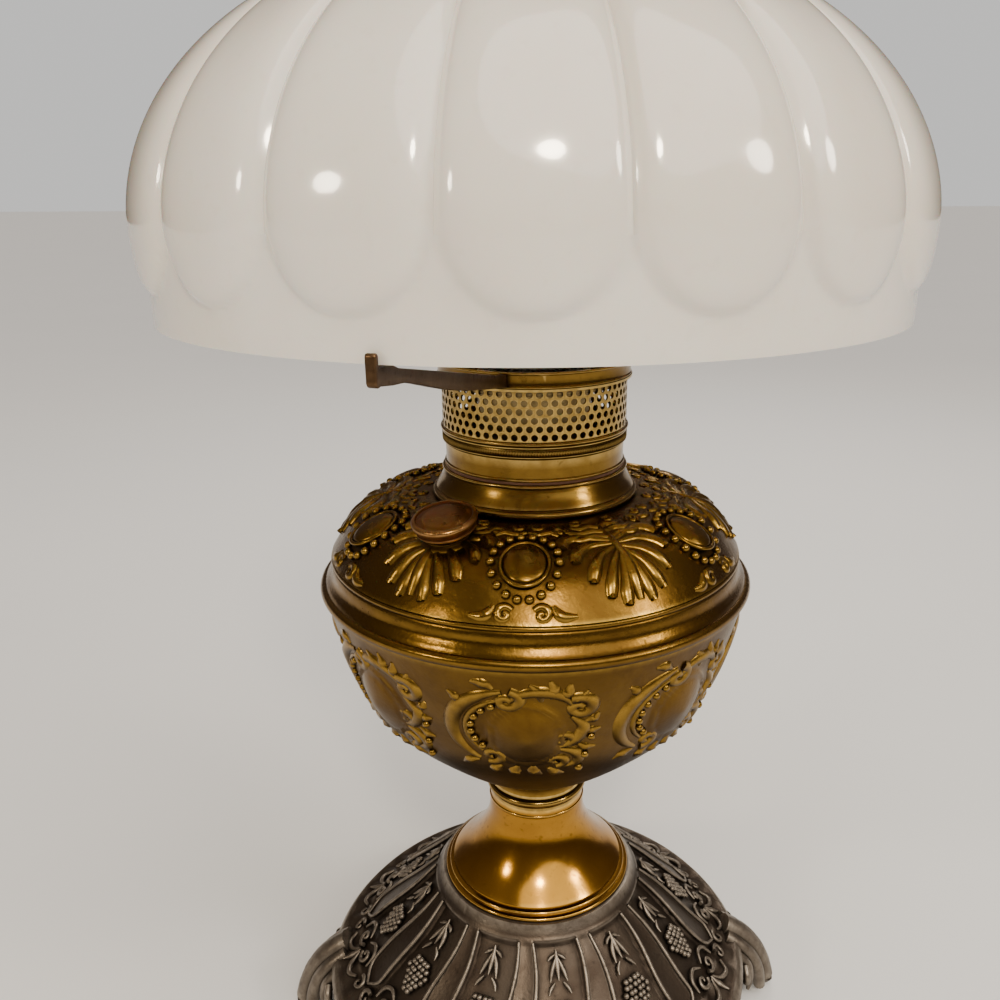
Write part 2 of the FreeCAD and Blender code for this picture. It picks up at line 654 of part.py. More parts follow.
def wick_knob():
    """Fluted thumb knob with a hub, pressed on to the spindle."""
    near = KNOB_STANDOFF
    far = KNOB_STANDOFF + KNOB_THICKNESS
    bore = SHAFT_RADIUS + 0.01
    knob = turned(straight((bore, near - 2.0), (bore + 1.4, near - 2.0), (bore + 1.4, near), (KNOB_RADIUS - 0.5, near),
                           (KNOB_RADIUS, near + 0.5), (KNOB_RADIUS, far - 0.5), (KNOB_RADIUS - 0.5, far),
                           (0, far), (0, far - 0.6), (bore, far - 0.6)))
    flute = Part.makeCylinder(0.5, KNOB_THICKNESS + 4, FreeCAD.Vector(0, -KNOB_RADIUS - 0.2, near - 2))
    return at_azimuth(facing_front(knob.cut(around(flute, KNOB_FLUTES)), SHAFT_LEVEL), KNOB_AZIMUTH)


# ---------------------------------------------------------------- gallery, spreader and chimney
def gallery_grip_ring():
    """Milled ring at the foot of the gallery, where it is gripped to lift it off."""
    bore = BURNER_BAND_RADIUS - GRIP_RING_LAND
    return turned(straight((bore, BURNER_TOP), (GRIP_RING_RADIUS, BURNER_TOP), (GRIP_RING_RADIUS, GRIP_TOP),
                           (bore, GRIP_TOP)))


def gallery_basket():
    """Thin wall of the gallery, from a rolled bead at its foot to a flange at its top."""
    outer = GALLERY_RADIUS
    inner = GALLERY_RADIUS - GALLERY_WALL
    bead = [(outer, GRIP_TOP), (outer + 0.8, GRIP_TOP + 0.8), (outer, GRIP_TOP + 1.6)]
    top = GALLERY_TOP
    step = HOLDER_RING_RADIUS + 0.2
    return turned(smooth(*bead),
                  straight((outer, top - 1.2), (step, top - 1.0), (step, top), (outer, top),
                           (outer, top + HOLDER_RING_HEIGHT - 1.0), (inner, top + HOLDER_RING_HEIGHT - 1.0),
                           (inner, GRIP_TOP)))


def chimney_seat():
    """Ring plate inside the gallery that the chimney stands on."""
    return tube(GALLERY_RADIUS - GALLERY_WALL - SEAM, WICK_TUBE_RADIUS + 4.0, CHIMNEY_SEAT - 1.2, CHIMNEY_SEAT)


def chimney_prongs():
    """Spring prongs that stand on the seat and steady the chimney's foot."""
    inner = CHIMNEY_FOOT_RADIUS + LOOSE
    outer = inner + PRONG_WALL
    ring = tube(outer, inner, CHIMNEY_SEAT, CHIMNEY_SEAT + PRONG_HEIGHT)
    sector = block((-PRONG_WIDTH / 2, PRONG_WIDTH / 2), (-outer - 1, -inner / 2),
                   (CHIMNEY_SEAT - 1, CHIMNEY_SEAT + PRONG_HEIGHT + 1))
    return Part.makeCompound(around(ring.common(sector), PRONG_COUNT, 45.0))


def flame_spreader():
    """Thimble that stands in the top of the draught tube, with a disc over the wick."""
    spigot = DRAFT_RADIUS - TUBE_WALL - FIT
    start = WICK_TUBE_TOP - SPREADER_SPIGOT
    disc = WICK_TUBE_TOP + SPREADER_GAP
    return turned(
        straight((spigot - 0.7, start), (spigot, start), (spigot, WICK_TUBE_TOP + 0.2), (spigot + 0.5, disc - 0.8),
                 (SPREADER_DISC_RADIUS, disc - 0.4), (SPREADER_DISC_RADIUS, disc + 0.4)),
        smooth((SPREADER_DISC_RADIUS - 0.6, disc + 0.7), (SPREADER_DISC_RADIUS / 2, disc + 2.0), (0, disc + 2.4)),
        straight((0, disc + 1.4), (spigot - 0.7, disc - 0.2)))


def chimney():
    """Clear glass chimney with a straight foot, a bulge and a long neck."""
    foot_r = CHIMNEY_FOOT_RADIUS
    bottom = CHIMNEY_SEAT
    top = CHIMNEY_SEAT + CHIMNEY_LENGTH
    line = [(foot_r, bottom + 9.0), (foot_r + 0.3, bottom + 16.0), (CHIMNEY_BULGE_RADIUS, bottom + 34.0),
            (foot_r - 1.7, bottom + 58.0), (CHIMNEY_TOP_RADIUS + 2.5, bottom + 88.0),
            (CHIMNEY_TOP_RADIUS + 0.4, bottom + 130.0), (CHIMNEY_TOP_RADIUS, top)]
    return turned(straight((foot_r - GLASS_WALL, bottom), (foot_r, bottom)), smooth(*line),
                  smooth(*inset(line, GLASS_WALL)))


# ---------------------------------------------------------------- shade and its holder
def holder_ring():
    """Ring of the shade holder, which drops over the gallery on to its flange."""
    return tube(HOLDER_RING_RADIUS, HOLDER_BORE, HOLDER_BOTTOM, HOLDER_BOTTOM + HOLDER_RING_HEIGHT)


def rim_gap():
    """Radius of the inner face of the tabs that hold the shade's rim in place."""
    return SHADE_RIM_RADIUS + 1.0


def shade_arm(azimuth):
    """Arm on edge from the ring out to the rim, with a ledge and a tab for the shade."""
    start = HOLDER_RING_RADIUS + SEAM
    tab_in = rim_gap()
    tab_out = tab_in + TAB_THICKNESS
    low = HOLDER_BOTTOM + 0.5
    ledge_in = SHADE_RIM_RADIUS - LEDGE_LENGTH
    strip = outline_face([straight(
        (start, low), (ledge_in - 6.0, LEDGE_TOP - ARM_DEPTH - 1.6), (tab_out - 0.8, LEDGE_TOP - ARM_DEPTH + 0.4),
        (tab_out, LEDGE_TOP - ARM_DEPTH + 1.4), (tab_out, LEDGE_TOP + TAB_HEIGHT - 0.6),
        (tab_out - 0.8, LEDGE_TOP + TAB_HEIGHT), (tab_in, LEDGE_TOP + TAB_HEIGHT - 0.4), (tab_in, LEDGE_TOP),
        (ledge_in, LEDGE_TOP), (ledge_in - 4.0, LEDGE_TOP - 1.6), (start + 3.0, low + ARM_DEPTH),
        (start, low + ARM_DEPTH))]).extrude(FreeCAD.Vector(0, ARM_THICKNESS, 0))
    strip.translate(FreeCAD.Vector(0, -ARM_THICKNESS / 2, 0))
    pad = block((tab_in, tab_out), (-TAB_WIDTH / 2, TAB_WIDTH / 2), (LEDGE_TOP - 2.4, LEDGE_TOP + TAB_HEIGHT - 0.6))
    arm = strip.fuse(pad).removeSplitter()
    arm.rotate(ORIGIN, UP, -90)
    inside = Part.makeCylinder(start, 60, FreeCAD.Vector(0, 0, HOLDER_BOTTOM - 20))
    hole = facing_front(Part.makeCylinder(RIVET_RADIUS + SEAM, start + 3.0), low + ARM_DEPTH / 2)
    return at_azimuth(arm.cut(inside).cut(hole), azimuth)


def arm_rivets():
    """Rivets from inside the ring into the root of each arm."""
    level = HOLDER_BOTTOM + 0.5 + ARM_DEPTH / 2
    rivet = facing_front(Part.makeCylinder(RIVET_RADIUS, 2.2, FreeCAD.Vector(0, 0, HOLDER_RING_RADIUS + 0.2)), level)
    return Part.makeCompound([at_azimuth(rivet, azimuth) for azimuth in ARM_AZIMUTHS])


def lobed_ring(crest, groove, level):
    """Closed smooth ring whose radius swings between full lobes and narrow grooves."""
    shoulder = crest - LOBE_SHOULDER * (crest - groove)
    lean = math.cos(math.pi / (2 * SHADE_LOBES))
    flank = (6 * shoulder - 1.5 * lean * (crest + groove)) / (4 - lean ** 2)
    poles = []
    for index in range(4 * SHADE_LOBES):
        angle = math.pi * index / (2 * SHADE_LOBES)
        reach = (1.5 * crest - 0.5 * lean * flank, flank, 1.5 * groove - 0.5 * lean * flank, flank)[index % 4]
        poles.append(FreeCAD.Vector(reach * math.sin(angle), -reach * math.cos(angle), level))
    curve = Part.BSplineCurve()
    curve.buildFromPoles(poles, True, 3)
    return Part.Wire([curve.toShape()])


def melon(wall, bottom, top):
    """Solid inside the shade's outer or inner surface: skirt, lobed dome and crown."""
    skirt = SHADE_RIM_RADIUS - wall
    side = SHADE_RADIUS - wall
    crown = CROWN_RADIUS - wall
    low = LEDGE_TOP + SHADE_SKIRT
    equator = LEDGE_TOP + SHADE_EQUATOR
    swell = side - 1.0
    rings = [lobed_ring(skirt, skirt, bottom), lobed_ring(skirt, skirt, low),
             lobed_ring(swell - 1.4, swell - 1.4 - 0.4 * LOBE_DEPTH, low + 2.0),
             lobed_ring(swell, swell - 0.8 * LOBE_DEPTH, (low + equator) / 2)]
    last = math.acos((crown + 2.0) / side)
    for index in range(DOME_STEPS + 1):
        angle = last * index / DOME_STEPS
        crest = side * math.cos(angle)
        level = equator + (SHADE_DOME - wall) * math.sin(angle)
        rings.append(lobed_ring(crest, crest - LOBE_DEPTH * math.cos(angle), level))
    rings.append(lobed_ring(crown, crown, level + 0.7))
    rings.append(lobed_ring(crown, crown, top))
    return Part.makeLoft(rings, True, True)


def shade():
    """Opal glass shade: plain skirt, eighteen lobes and a short crown round the mouth."""
    outside = melon(0.0, LEDGE_TOP, SHADE_TOP)
    hollow = melon(SHADE_WALL, LEDGE_TOP - 1.0, SHADE_TOP + 1.0)
    return outside.cut(hollow)


# ---------------------------------------------------------------- the lamp
def arm_name(index):
    """Name of one arm's node."""
    return ("shade_arm_front", "shade_arm_right", "shade_arm_left")[index]


def parts():
    """Every piece of the lamp, by the name of its node."""
    pieces = {
        "base_casting": base_casting(),
        "pedestal_plate": pedestal_plate(),
        "base_washers": base_washers(),
        "base_screws": base_screws(),
        "pedestal_cone": pedestal_cone(),
        "neck_collar": neck_collar(),
        "font_bowl": font_bowl(),
        "font_belt": font_belt(),
        "font_dome": font_dome(),
        "font_collar": font_collar(),
        "filler_neck": filler_neck(),
        "filler_gasket": filler_gasket(),
        "filler_cap": filler_cap(),
        "draft_tube": draft_tube(),
        "burner_gasket": burner_gasket(),
        "burner_base": burner_base(),
        "outer_wick_tube": outer_wick_tube(),
        "knob_bush": knob_bush(),
        "wick_carrier": wick_carrier(),
        "wick_rack": wick_rack(),
        "wick": wick(),
        "wick_pinion": wick_pinion(),
        "knob_shaft": knob_shaft(),
        "wick_knob": wick_knob(),
        "gallery_grip_ring": gallery_grip_ring(),
        "gallery_basket": gallery_basket(),
        "chimney_seat": chimney_seat(),
        "chimney_prongs": chimney_prongs(),
        "flame_spreader": flame_spreader(),
        "chimney": chimney(),
        "holder_ring": holder_ring(),
        "arm_rivets": arm_rivets(),
        "shade": shade(),
    }
    for index, azimuth in enumerate(ARM_AZIMUTHS):
        pieces[arm_name(index)] = shade_arm(azimuth)
    return pieces


os.makedirs("parts", exist_ok=True)
for name, shape in parts().items():
    shape.exportStep("parts/" + name + ".step")
    box = shape.BoundBox
    print("%-18s solids %2d valid %s volume %10.1f  z %.1f to %.1f" %
          (name, len(shape.Solids), shape.isValid(), shape.Volume, box.ZMin, box.ZMax))
print("filler level %.3f, shaft level %.3f, spigot bottom %.3f" % (filler_level(), SHAFT_LEVEL, spigot_bottom()))
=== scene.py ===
import json
import logging
import math
from dataclasses import dataclass
from enum import Enum
from typing import Callable, Optional, Sequence

import bpy
import numpy as np
from mathutils import Matrix, Vector


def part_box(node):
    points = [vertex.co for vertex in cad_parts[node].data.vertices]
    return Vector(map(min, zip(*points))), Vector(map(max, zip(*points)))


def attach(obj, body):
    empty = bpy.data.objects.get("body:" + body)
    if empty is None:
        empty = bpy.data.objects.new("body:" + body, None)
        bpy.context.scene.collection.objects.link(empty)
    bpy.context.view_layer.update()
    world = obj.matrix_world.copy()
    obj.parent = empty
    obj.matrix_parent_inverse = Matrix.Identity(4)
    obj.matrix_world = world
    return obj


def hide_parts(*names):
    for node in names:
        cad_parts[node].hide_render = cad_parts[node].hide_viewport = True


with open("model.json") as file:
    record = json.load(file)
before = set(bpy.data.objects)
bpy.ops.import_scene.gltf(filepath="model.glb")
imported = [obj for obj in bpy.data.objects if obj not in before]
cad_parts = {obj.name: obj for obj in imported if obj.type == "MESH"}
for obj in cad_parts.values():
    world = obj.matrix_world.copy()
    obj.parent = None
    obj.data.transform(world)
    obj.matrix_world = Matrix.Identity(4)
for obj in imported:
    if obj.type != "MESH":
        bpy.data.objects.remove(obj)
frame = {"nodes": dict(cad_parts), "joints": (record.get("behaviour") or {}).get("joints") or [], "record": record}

LOG = logging.getLogger("oil_lamp")
MM = 0.001
TURN = 2 * math.pi
RECESS_SHADE_REACH = 0.0042   # how far into a corner the painted recess shade (and grime) reaches, in metres
Point2 = tuple[float, float]


# ---------------------------------------------------------------- small geometry helpers
def node_span(node: str) -> tuple[float, float, float]:
    """Measure a round CAD node.

    Args:
        node: Name of the node.

    Returns:
        Its lowest level, highest level and radius, in millimetres.
    """
    low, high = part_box(node)
    return low[2] / MM, high[2] / MM, high[0] / MM


def scaled_form(form: Sequence[Point2], start: Point2, end: Point2) -> list[Point2]:
    """Lay a form, given in shares of a width and a height, between two points.

    Args:
        form: Pairs of shares, from (0, 0) to (1, 1).
        start: First (radius, level) point.
        end: Last (radius, level) point.

    Returns:
        The points of the form.
    """
    return [(start[0] + u * (end[0] - start[0]), start[1] + v * (end[1] - start[1])) for u, v in form]


def flow(points: Sequence[Point2], count: int) -> list[Point2]:
    """Run a smooth curve through points and space samples evenly along it.

    Args:
        points: Points that the curve passes through.
        count: Number of samples.

    Returns:
        The samples, first and last point included.
    """
    pts = [np.array(p, dtype=float) for p in points]
    pts = [2 * pts[0] - pts[1]] + pts + [2 * pts[-1] - pts[-2]]
    dense: list[np.ndarray] = []
    for p0, p1, p2, p3 in zip(pts, pts[1:], pts[2:], pts[3:]):
        for t in np.linspace(0.0, 1.0, 24, endpoint=False):
            dense.append(0.5 * (2 * p1 + (p2 - p0) * t + (2 * p0 - 5 * p1 + 4 * p2 - p3) * t ** 2
                                + (3 * p1 - p0 - 3 * p2 + p3) * t ** 3))
    dense.append(pts[-2])
    line = np.array(dense)
    lengths = np.concatenate([[0.0], np.cumsum(np.linalg.norm(np.diff(line, axis=0), axis=1))])
    wanted = np.linspace(0.0, lengths[-1], count)
    return [(float(np.interp(w, lengths, line[:, 0])), float(np.interp(w, lengths, line[:, 1]))) for w in wanted]


def arc(centre: Point2, radius: float, start: float, end: float, count: int) -> list[Point2]:
    """Sample a circular arc.

    Args:
        centre: Centre of the arc.
        radius: Radius of the arc.
        start: First angle in degrees, from the first axis.
        end: Last angle in degrees.
        count: Number of samples.

    Returns:
        The samples.
    """
    return [(centre[0] + radius * math.cos(math.radians(a)), centre[1] + radius * math.sin(math.radians(a)))
            for a in np.linspace(start, end, count)]


def inset(points: Sequence[Point2], wall: float) -> list[Point2]:
    """Move a line to its left by a wall and list it from its far end back.

    Args:
        points: The line.
        wall: Distance to move it.

    Returns:
        The moved line, reversed.
    """
    line = np.array(points)
    tangent = np.gradient(line, axis=0)
    tangent /= np.linalg.norm(tangent, axis=1)[:, None]
    moved = line + wall * np.stack([-tangent[:, 1], tangent[:, 0]], axis=1)
    return [(float(r), float(z)) for r, z in moved[::-1]]


def spiral(centre: Point2, radius: float, start: float, turns: float, count: int = 14) -> list[Point2]:
    """Sample a spiral that winds inwards.

    Args:
        centre: Centre of the spiral.
        radius: Radius of its outer end.
        start: Angle of its outer end in degrees.
        turns: Turns that it makes, negative for clockwise.
        count: Number of samples.

    Returns:
        The samples, outer end first.
    """
    points = []
    for share in np.linspace(0.0, 1.0, count):
        angle = math.radians(start + 360.0 * turns * share)
        reach = radius * (1.0 - 0.82 * share)
        points.append((centre[0] + reach * math.cos(angle), centre[1] + reach * math.sin(angle)))
    return points


class TurnedSkin:
    """The outer surface of a turned piece, on which ornament is laid out in millimetres."""

    def __init__(self, line: Sequence[Point2]) -> None:
        """Keep the surface's outline, listed from its lower end up or inwards."""
        self.line = np.array(line)
        steps = np.linalg.norm(np.diff(self.line, axis=0), axis=1)
        self.run = np.concatenate([[0.0], np.cumsum(steps)])

    @property
    def length(self) -> float:
        """Length of the outline."""
        return float(self.run[-1])

    def radius(self, along: float) -> float:
        """Radius of the surface at a distance along its outline."""
        return float(np.interp(along, self.run, self.line[:, 0]))

    def place(self, azimuth: float, along: float, lift: float = 0.0) -> Vector:
        """Find a point on or over the surface.

        Args:
            azimuth: Degrees from the front, positive towards +X.
            along: Distance along the outline.
            lift: Height over the surface.

        Returns:
            The point, in millimetres.
        """
        frame_at = self.axes(azimuth, along)
        return frame_at.to_translation() + frame_at.col[2].to_3d() * float(lift)

    def axes(self, azimuth: float, along: float) -> Matrix:
        """Find the surface's own axes at a point.

        Args:
            azimuth: Degrees from the front.
            along: Distance along the outline.

        Returns:
            A matrix with X round the axis, Y along the outline, Z outwards, placed at the point.
        """
        r = self.radius(along)
        z = float(np.interp(along, self.run, self.line[:, 1]))
        step = 0.4
        ahead, behind = min(along + step, self.length), max(along - step, 0.0)
        dr = self.radius(ahead) - self.radius(behind)
        dz = float(np.interp(ahead, self.run, self.line[:, 1]) - np.interp(behind, self.run, self.line[:, 1]))
        size = math.hypot(dr, dz)
        dr, dz = dr / size, dz / size
        angle = math.radians(azimuth)
        outward = Vector((math.sin(angle), -math.cos(angle), 0.0))
        around = Vector((math.cos(angle), math.sin(angle), 0.0))
        along_dir = outward * dr + Vector((0, 0, dz))
        normal = outward * dz - Vector((0, 0, dr))
        matrix = Matrix.Identity(4)
        for column, axis in enumerate((around, along_dir, normal)):
            matrix.col[column] = axis.to_4d()
            matrix.col[column][3] = 0.0
        matrix.translation = outward * r + Vector((0, 0, z))
        return matrix

    def offset_azimuth(self, azimuth: float, across: float, along: float) -> float:
        """Azimuth of a point that lies a distance across from a reference azimuth."""
        return azimuth + math.degrees(across / self.radius(along))


# ---------------------------------------------------------------- modelling with operators
class Bench:
    """The modelling operations that every piece of the lamp is made with."""

    @staticmethod
    def deselect() -> None:
        """Leave nothing selected."""
        if bpy.context.mode != "OBJECT":
            bpy.ops.object.mode_set(mode="OBJECT")
        bpy.ops.object.select_all(action="DESELECT")

    @staticmethod
    def pick(*objects: bpy.types.Object) -> None:
        """Select objects, the first one active."""
        Bench.deselect()
        for item in objects:
            item.select_set(True)
        bpy.context.view_layer.objects.active = objects[0]

    @staticmethod
    def turn(name: str, outline: Sequence[Point2], segments: int, closed: bool = True,
             angle: float = 35.0) -> bpy.types.Object:
        """Turn an outline about the lamp's axis.

        Args:
            name: Name of the piece.
            outline: (radius, level) points in millimetres.
            segments: Steps round the axis.
            closed: Whether the outline returns to its first point.
            angle: Edges sharper than this many degrees stay sharp.

        Returns:
            The turned piece.
        """
        points = [(r, z) for r, z in outline]
        if closed:
            points.append(points[0])
        Bench.deselect()
        bpy.ops.mesh.primitive_plane_add(size=MM)
        piece = bpy.context.active_object
        piece.name = name
        bpy.ops.object.mode_set(mode="EDIT")
        bpy.ops.mesh.select_all(action="SELECT")
        bpy.ops.mesh.merge(type="CENTER")
        bpy.ops.transform.translate(value=(points[0][0] * MM, 0.0, points[0][1] * MM))
        for (r0, z0), (r1, z1) in zip(points, points[1:]):
            bpy.ops.mesh.extrude_region_move(
                TRANSFORM_OT_translate={"value": ((r1 - r0) * MM, 0.0, (z1 - z0) * MM)})
        bpy.ops.mesh.select_all(action="SELECT")
        bpy.ops.mesh.remove_doubles(threshold=1e-7)
        bpy.ops.mesh.spin(steps=segments, angle=TURN, center=(0, 0, 0), axis=(0, 0, 1))
        bpy.ops.mesh.select_all(action="SELECT")
        bpy.ops.mesh.remove_doubles(threshold=2e-7)
        bpy.ops.mesh.normals_make_consistent(inside=False)
        bpy.ops.object.mode_set(mode="OBJECT")
        Bench.smooth(piece, angle)
        return piece

    @staticmethod
    def smooth(piece: bpy.types.Object, angle: float = 35.0) -> None:
        """Shade a piece smooth except at edges sharper than an angle."""
        Bench.pick(piece)
        bpy.ops.object.shade_smooth_by_angle(angle=math.radians(angle))

    @staticmethod
    def emboss(piece: bpy.types.Object, height: float, field: Callable[[np.ndarray, np.ndarray], np.ndarray],
               chosen: Callable[[np.ndarray, np.ndarray], np.ndarray]) -> None:
        """Raise relief on a piece, with a weighted Displace modifier.

        Args:
            piece: The piece.
            height: Height in millimetres where the field is 1.
            field: Gives shares of the height from azimuths (radians) and levels (mm).
            chosen: Gives which vertices belong to the outside, from radii and levels.
        """
        count = len(piece.data.vertices)
        places = np.empty(count * 3)
        piece.data.vertices.foreach_get("co", places)
        x, y, z = (places.reshape(-1, 3) / MM).T
        radius = np.hypot(x, y)
        shares = np.where(chosen(radius, z), field(np.arctan2(x, -y), z), 0.0)
        group = piece.vertex_groups.new(name="relief")
        for index in np.nonzero(shares > 1e-4)[0]:
            group.add([int(index)], float(min(shares[index], 1.0)), "REPLACE")
        Bench.pick(piece)
        bpy.ops.object.modifier_add(type="DISPLACE")
        modifier = piece.modifiers[-1]
        modifier.vertex_group = "relief"
        modifier.strength = height * MM
        modifier.mid_level = 0.0
        bpy.ops.object.modifier_apply(modifier=modifier.name)

    @staticmethod
    def copies(source: bpy.types.Object, places: Sequence[Matrix]) -> list[bpy.types.Object]:
        """Copy a piece to several places, each copy with its own mesh, and drop the source.

        Args:
            source: The piece, made at the origin in metres.
            places: Where each copy goes.

        Returns:
            The copies.
        """
        made = []
        for matrix in places:
            copy = source.copy()
            copy.data = source.data.copy()
            copy.data.transform(matrix)
            bpy.context.collection.objects.link(copy)
            made.append(copy)
        bpy.data.objects.remove(source)
        return made

    @staticmethod
    def join(name: str, parts: Sequence[bpy.types.Object]) -> bpy.types.Object:
        """Join objects into one piece with a name."""
        Bench.pick(*parts)
        if len(parts) > 1:
            bpy.ops.object.join()
        piece = bpy.context.active_object
        piece.name = name
        return piece

    @staticmethod
    def apply(piece: bpy.types.Object, kind: str, **settings: object) -> None:
        """Add one modifier with its settings and apply it."""
        Bench.pick(piece)
        bpy.ops.object.modifier_add(type=kind)
        modifier = piece.modifiers[-1]
        for key, value in settings.items():
            setattr(modifier, key, value)
        bpy.ops.object.modifier_apply(modifier=modifier.name)

    @staticmethod
    def pearl(radius: float, flat: float = 1.0) -> bpy.types.Object:
        """Make one small round bead at the origin, in metres.

        Args:
            radius: Radius in millimetres.
            flat: Share of the radius that it stands up.

        Returns:
            The bead.
        """
        Bench.deselect()
        bpy.ops.mesh.primitive_uv_sphere_add(segments=9, ring_count=6, radius=radius * MM)
        bead = bpy.context.active_object
        bpy.ops.object.mode_set(mode="EDIT")
        bpy.ops.mesh.select_all(action="SELECT")
        bpy.ops.transform.resize(value=(1.0, 1.0, flat))
        bpy.ops.mesh.select_all(action="DESELECT")
        bpy.ops.object.mode_set(mode="OBJECT")
        Bench.smooth(bead, 180.0)
        return bead


class Chasing:
    """Raised strokes laid on a turned surface, as a chaser's tool leaves them."""

    def __init__(self, skin: TurnedSkin) -> None:
        """Start with no strokes on a surface."""
        self.skin = skin
        self.strokes: list[tuple[list[Vector], list[float]]] = []

    def stroke(self, azimuth: float, path: Sequence[Point2], widths: Sequence[float], sink: float = 0.3,
               mirror: bool = False) -> None:
        """Lay one stroke.

        Args:
            azimuth: Azimuth of the motif's middle, in degrees.
            path: (across, along) points of the stroke's middle line, in millimetres.
            widths: Half-widths along it, in millimetres, spread evenly.
            sink: Share of the half-width that lies under the surface.
            mirror: Whether to flip it across the motif's middle.
        """
        side = -1.0 if mirror else 1.0
        line = flow(path, max(5, min(16, 3 * len(path))))
        shares = np.linspace(0.0, 1.0, len(line))
        halves = np.interp(shares, np.linspace(0.0, 1.0, len(widths)), widths)
        places = []
        for (across, along), half in zip(line, halves):
            turned = self.skin.offset_azimuth(azimuth, side * across, along)
            places.append(self.skin.place(turned, along, -sink * half))
        self.strokes.append((places, [float(h) for h in halves]))

    def free(self, places: Sequence[Vector], halves: Sequence[float]) -> None:
        """Lay one stroke through points in space, in millimetres."""
        self.strokes.append((list(places), list(halves)))

    def build(self, name: str, sides: int = 2) -> bpy.types.Object:
        """Turn the strokes into one mesh.

        Args:
            name: Name of the object.
            sides: Bevel resolution of a stroke.

        Returns:
            The strokes as a mesh.
        """
        Bench.deselect()
        bpy.ops.curve.primitive_nurbs_path_add()
        piece = bpy.context.active_object
        piece.name = name
        curve = piece.data
        curve.splines.clear()
        for places, halves in self.strokes:
            spline = curve.splines.new("NURBS")
            spline.points.add(len(places) - 1)
            for point, place, half in zip(spline.points, places, halves):
                point.co = (place.x * MM, place.y * MM, place.z * MM, 1.0)
                point.radius = half
            spline.order_u = 3
            spline.use_endpoint_u = True
            spline.resolution_u = 2
        curve.dimensions = "3D"
        curve.bevel_depth = MM
        curve.bevel_resolution = sides
        curve.use_fill_caps = True
        Bench.pick(piece)
        bpy.ops.object.convert(target="MESH")
        Bench.smooth(bpy.context.active_object, 50.0)
        return bpy.context.active_object


# ---------------------------------------------------------------- materials
class Graph:
    """A node tree with short calls to add and link nodes."""

    def __init__(self, tree: bpy.types.NodeTree) -> None:
        """Wrap a tree and empty it."""
        self.tree = tree
        tree.nodes.clear()

    def node(self, kind: str, settings: Optional[dict] = None, **inputs: object) -> bpy.types.Node:
        """Add a node.

        Args:
            kind: Blender's type name of the node.
            settings: Properties of the node.
            **inputs: Socket values or sockets to link, by name, with _ for a space.

        Returns:
            The node.
        """
        made = self.tree.nodes.new(kind)
        for key, value in (settings or {}).items():
            setattr(made, key, value)
        for key, value in inputs.items():
            self.feed(made.inputs[key.replace("_", " ")], value)
        return made

    def feed(self, socket: bpy.types.NodeSocket, value: object) -> None:
        """Link a socket to another, or set its value."""
        if isinstance(value, bpy.types.NodeSocket):
            self.tree.links.new(value, socket)
        else:
            socket.default_value = value

    def noise(self, vector: bpy.types.NodeSocket, scale: float, detail: float = 4.0,
              rough: float = 0.6) -> bpy.types.NodeSocket:
        """Add a noise texture and return its value."""
        made = self.node("ShaderNodeTexNoise", Vector=vector, Scale=scale, Detail=detail, Roughness=rough)
        return made.outputs["Fac"]

    def span(self, value: object, low: object, high: object, to_low: float = 0.0,
             to_high: float = 1.0) -> bpy.types.NodeSocket:
        """Map a range of a value to another range, clamped."""
        made = self.node("ShaderNodeMapRange")
        for index, item in enumerate((value, low, high, to_low, to_high)):
            self.feed(made.inputs[index], item)
        return made.outputs[0]

    def maths(self, operation: str, first: object, second: object = 0.0) -> bpy.types.NodeSocket:
        """Combine two values."""
        made = self.node("ShaderNodeMath", {"operation": operation})
        self.feed(made.inputs[0], first)
        self.feed(made.inputs[1], second)
        return made.outputs[0]

    def mix(self, share: object, first: object, second: object, kind: str = "MIX") -> bpy.types.NodeSocket:
        """Mix two colours."""
        made = self.node("ShaderNodeMix", {"data_type": "RGBA", "blend_type": kind})
        self.feed(made.inputs["Factor"], share)
        self.feed(made.inputs["A"], first)
        self.feed(made.inputs["B"], second)
        return made.outputs["Result"]

    def bump(self, height: bpy.types.NodeSocket, depth: float, strength: float = 1.0) -> bpy.types.NodeSocket:
        """Add a Bump node and return its normal. Depth is in millimetres."""
        made = self.node("ShaderNodeBump", Strength=strength, Distance=depth * MM, Height=height)
        return made.outputs["Normal"]


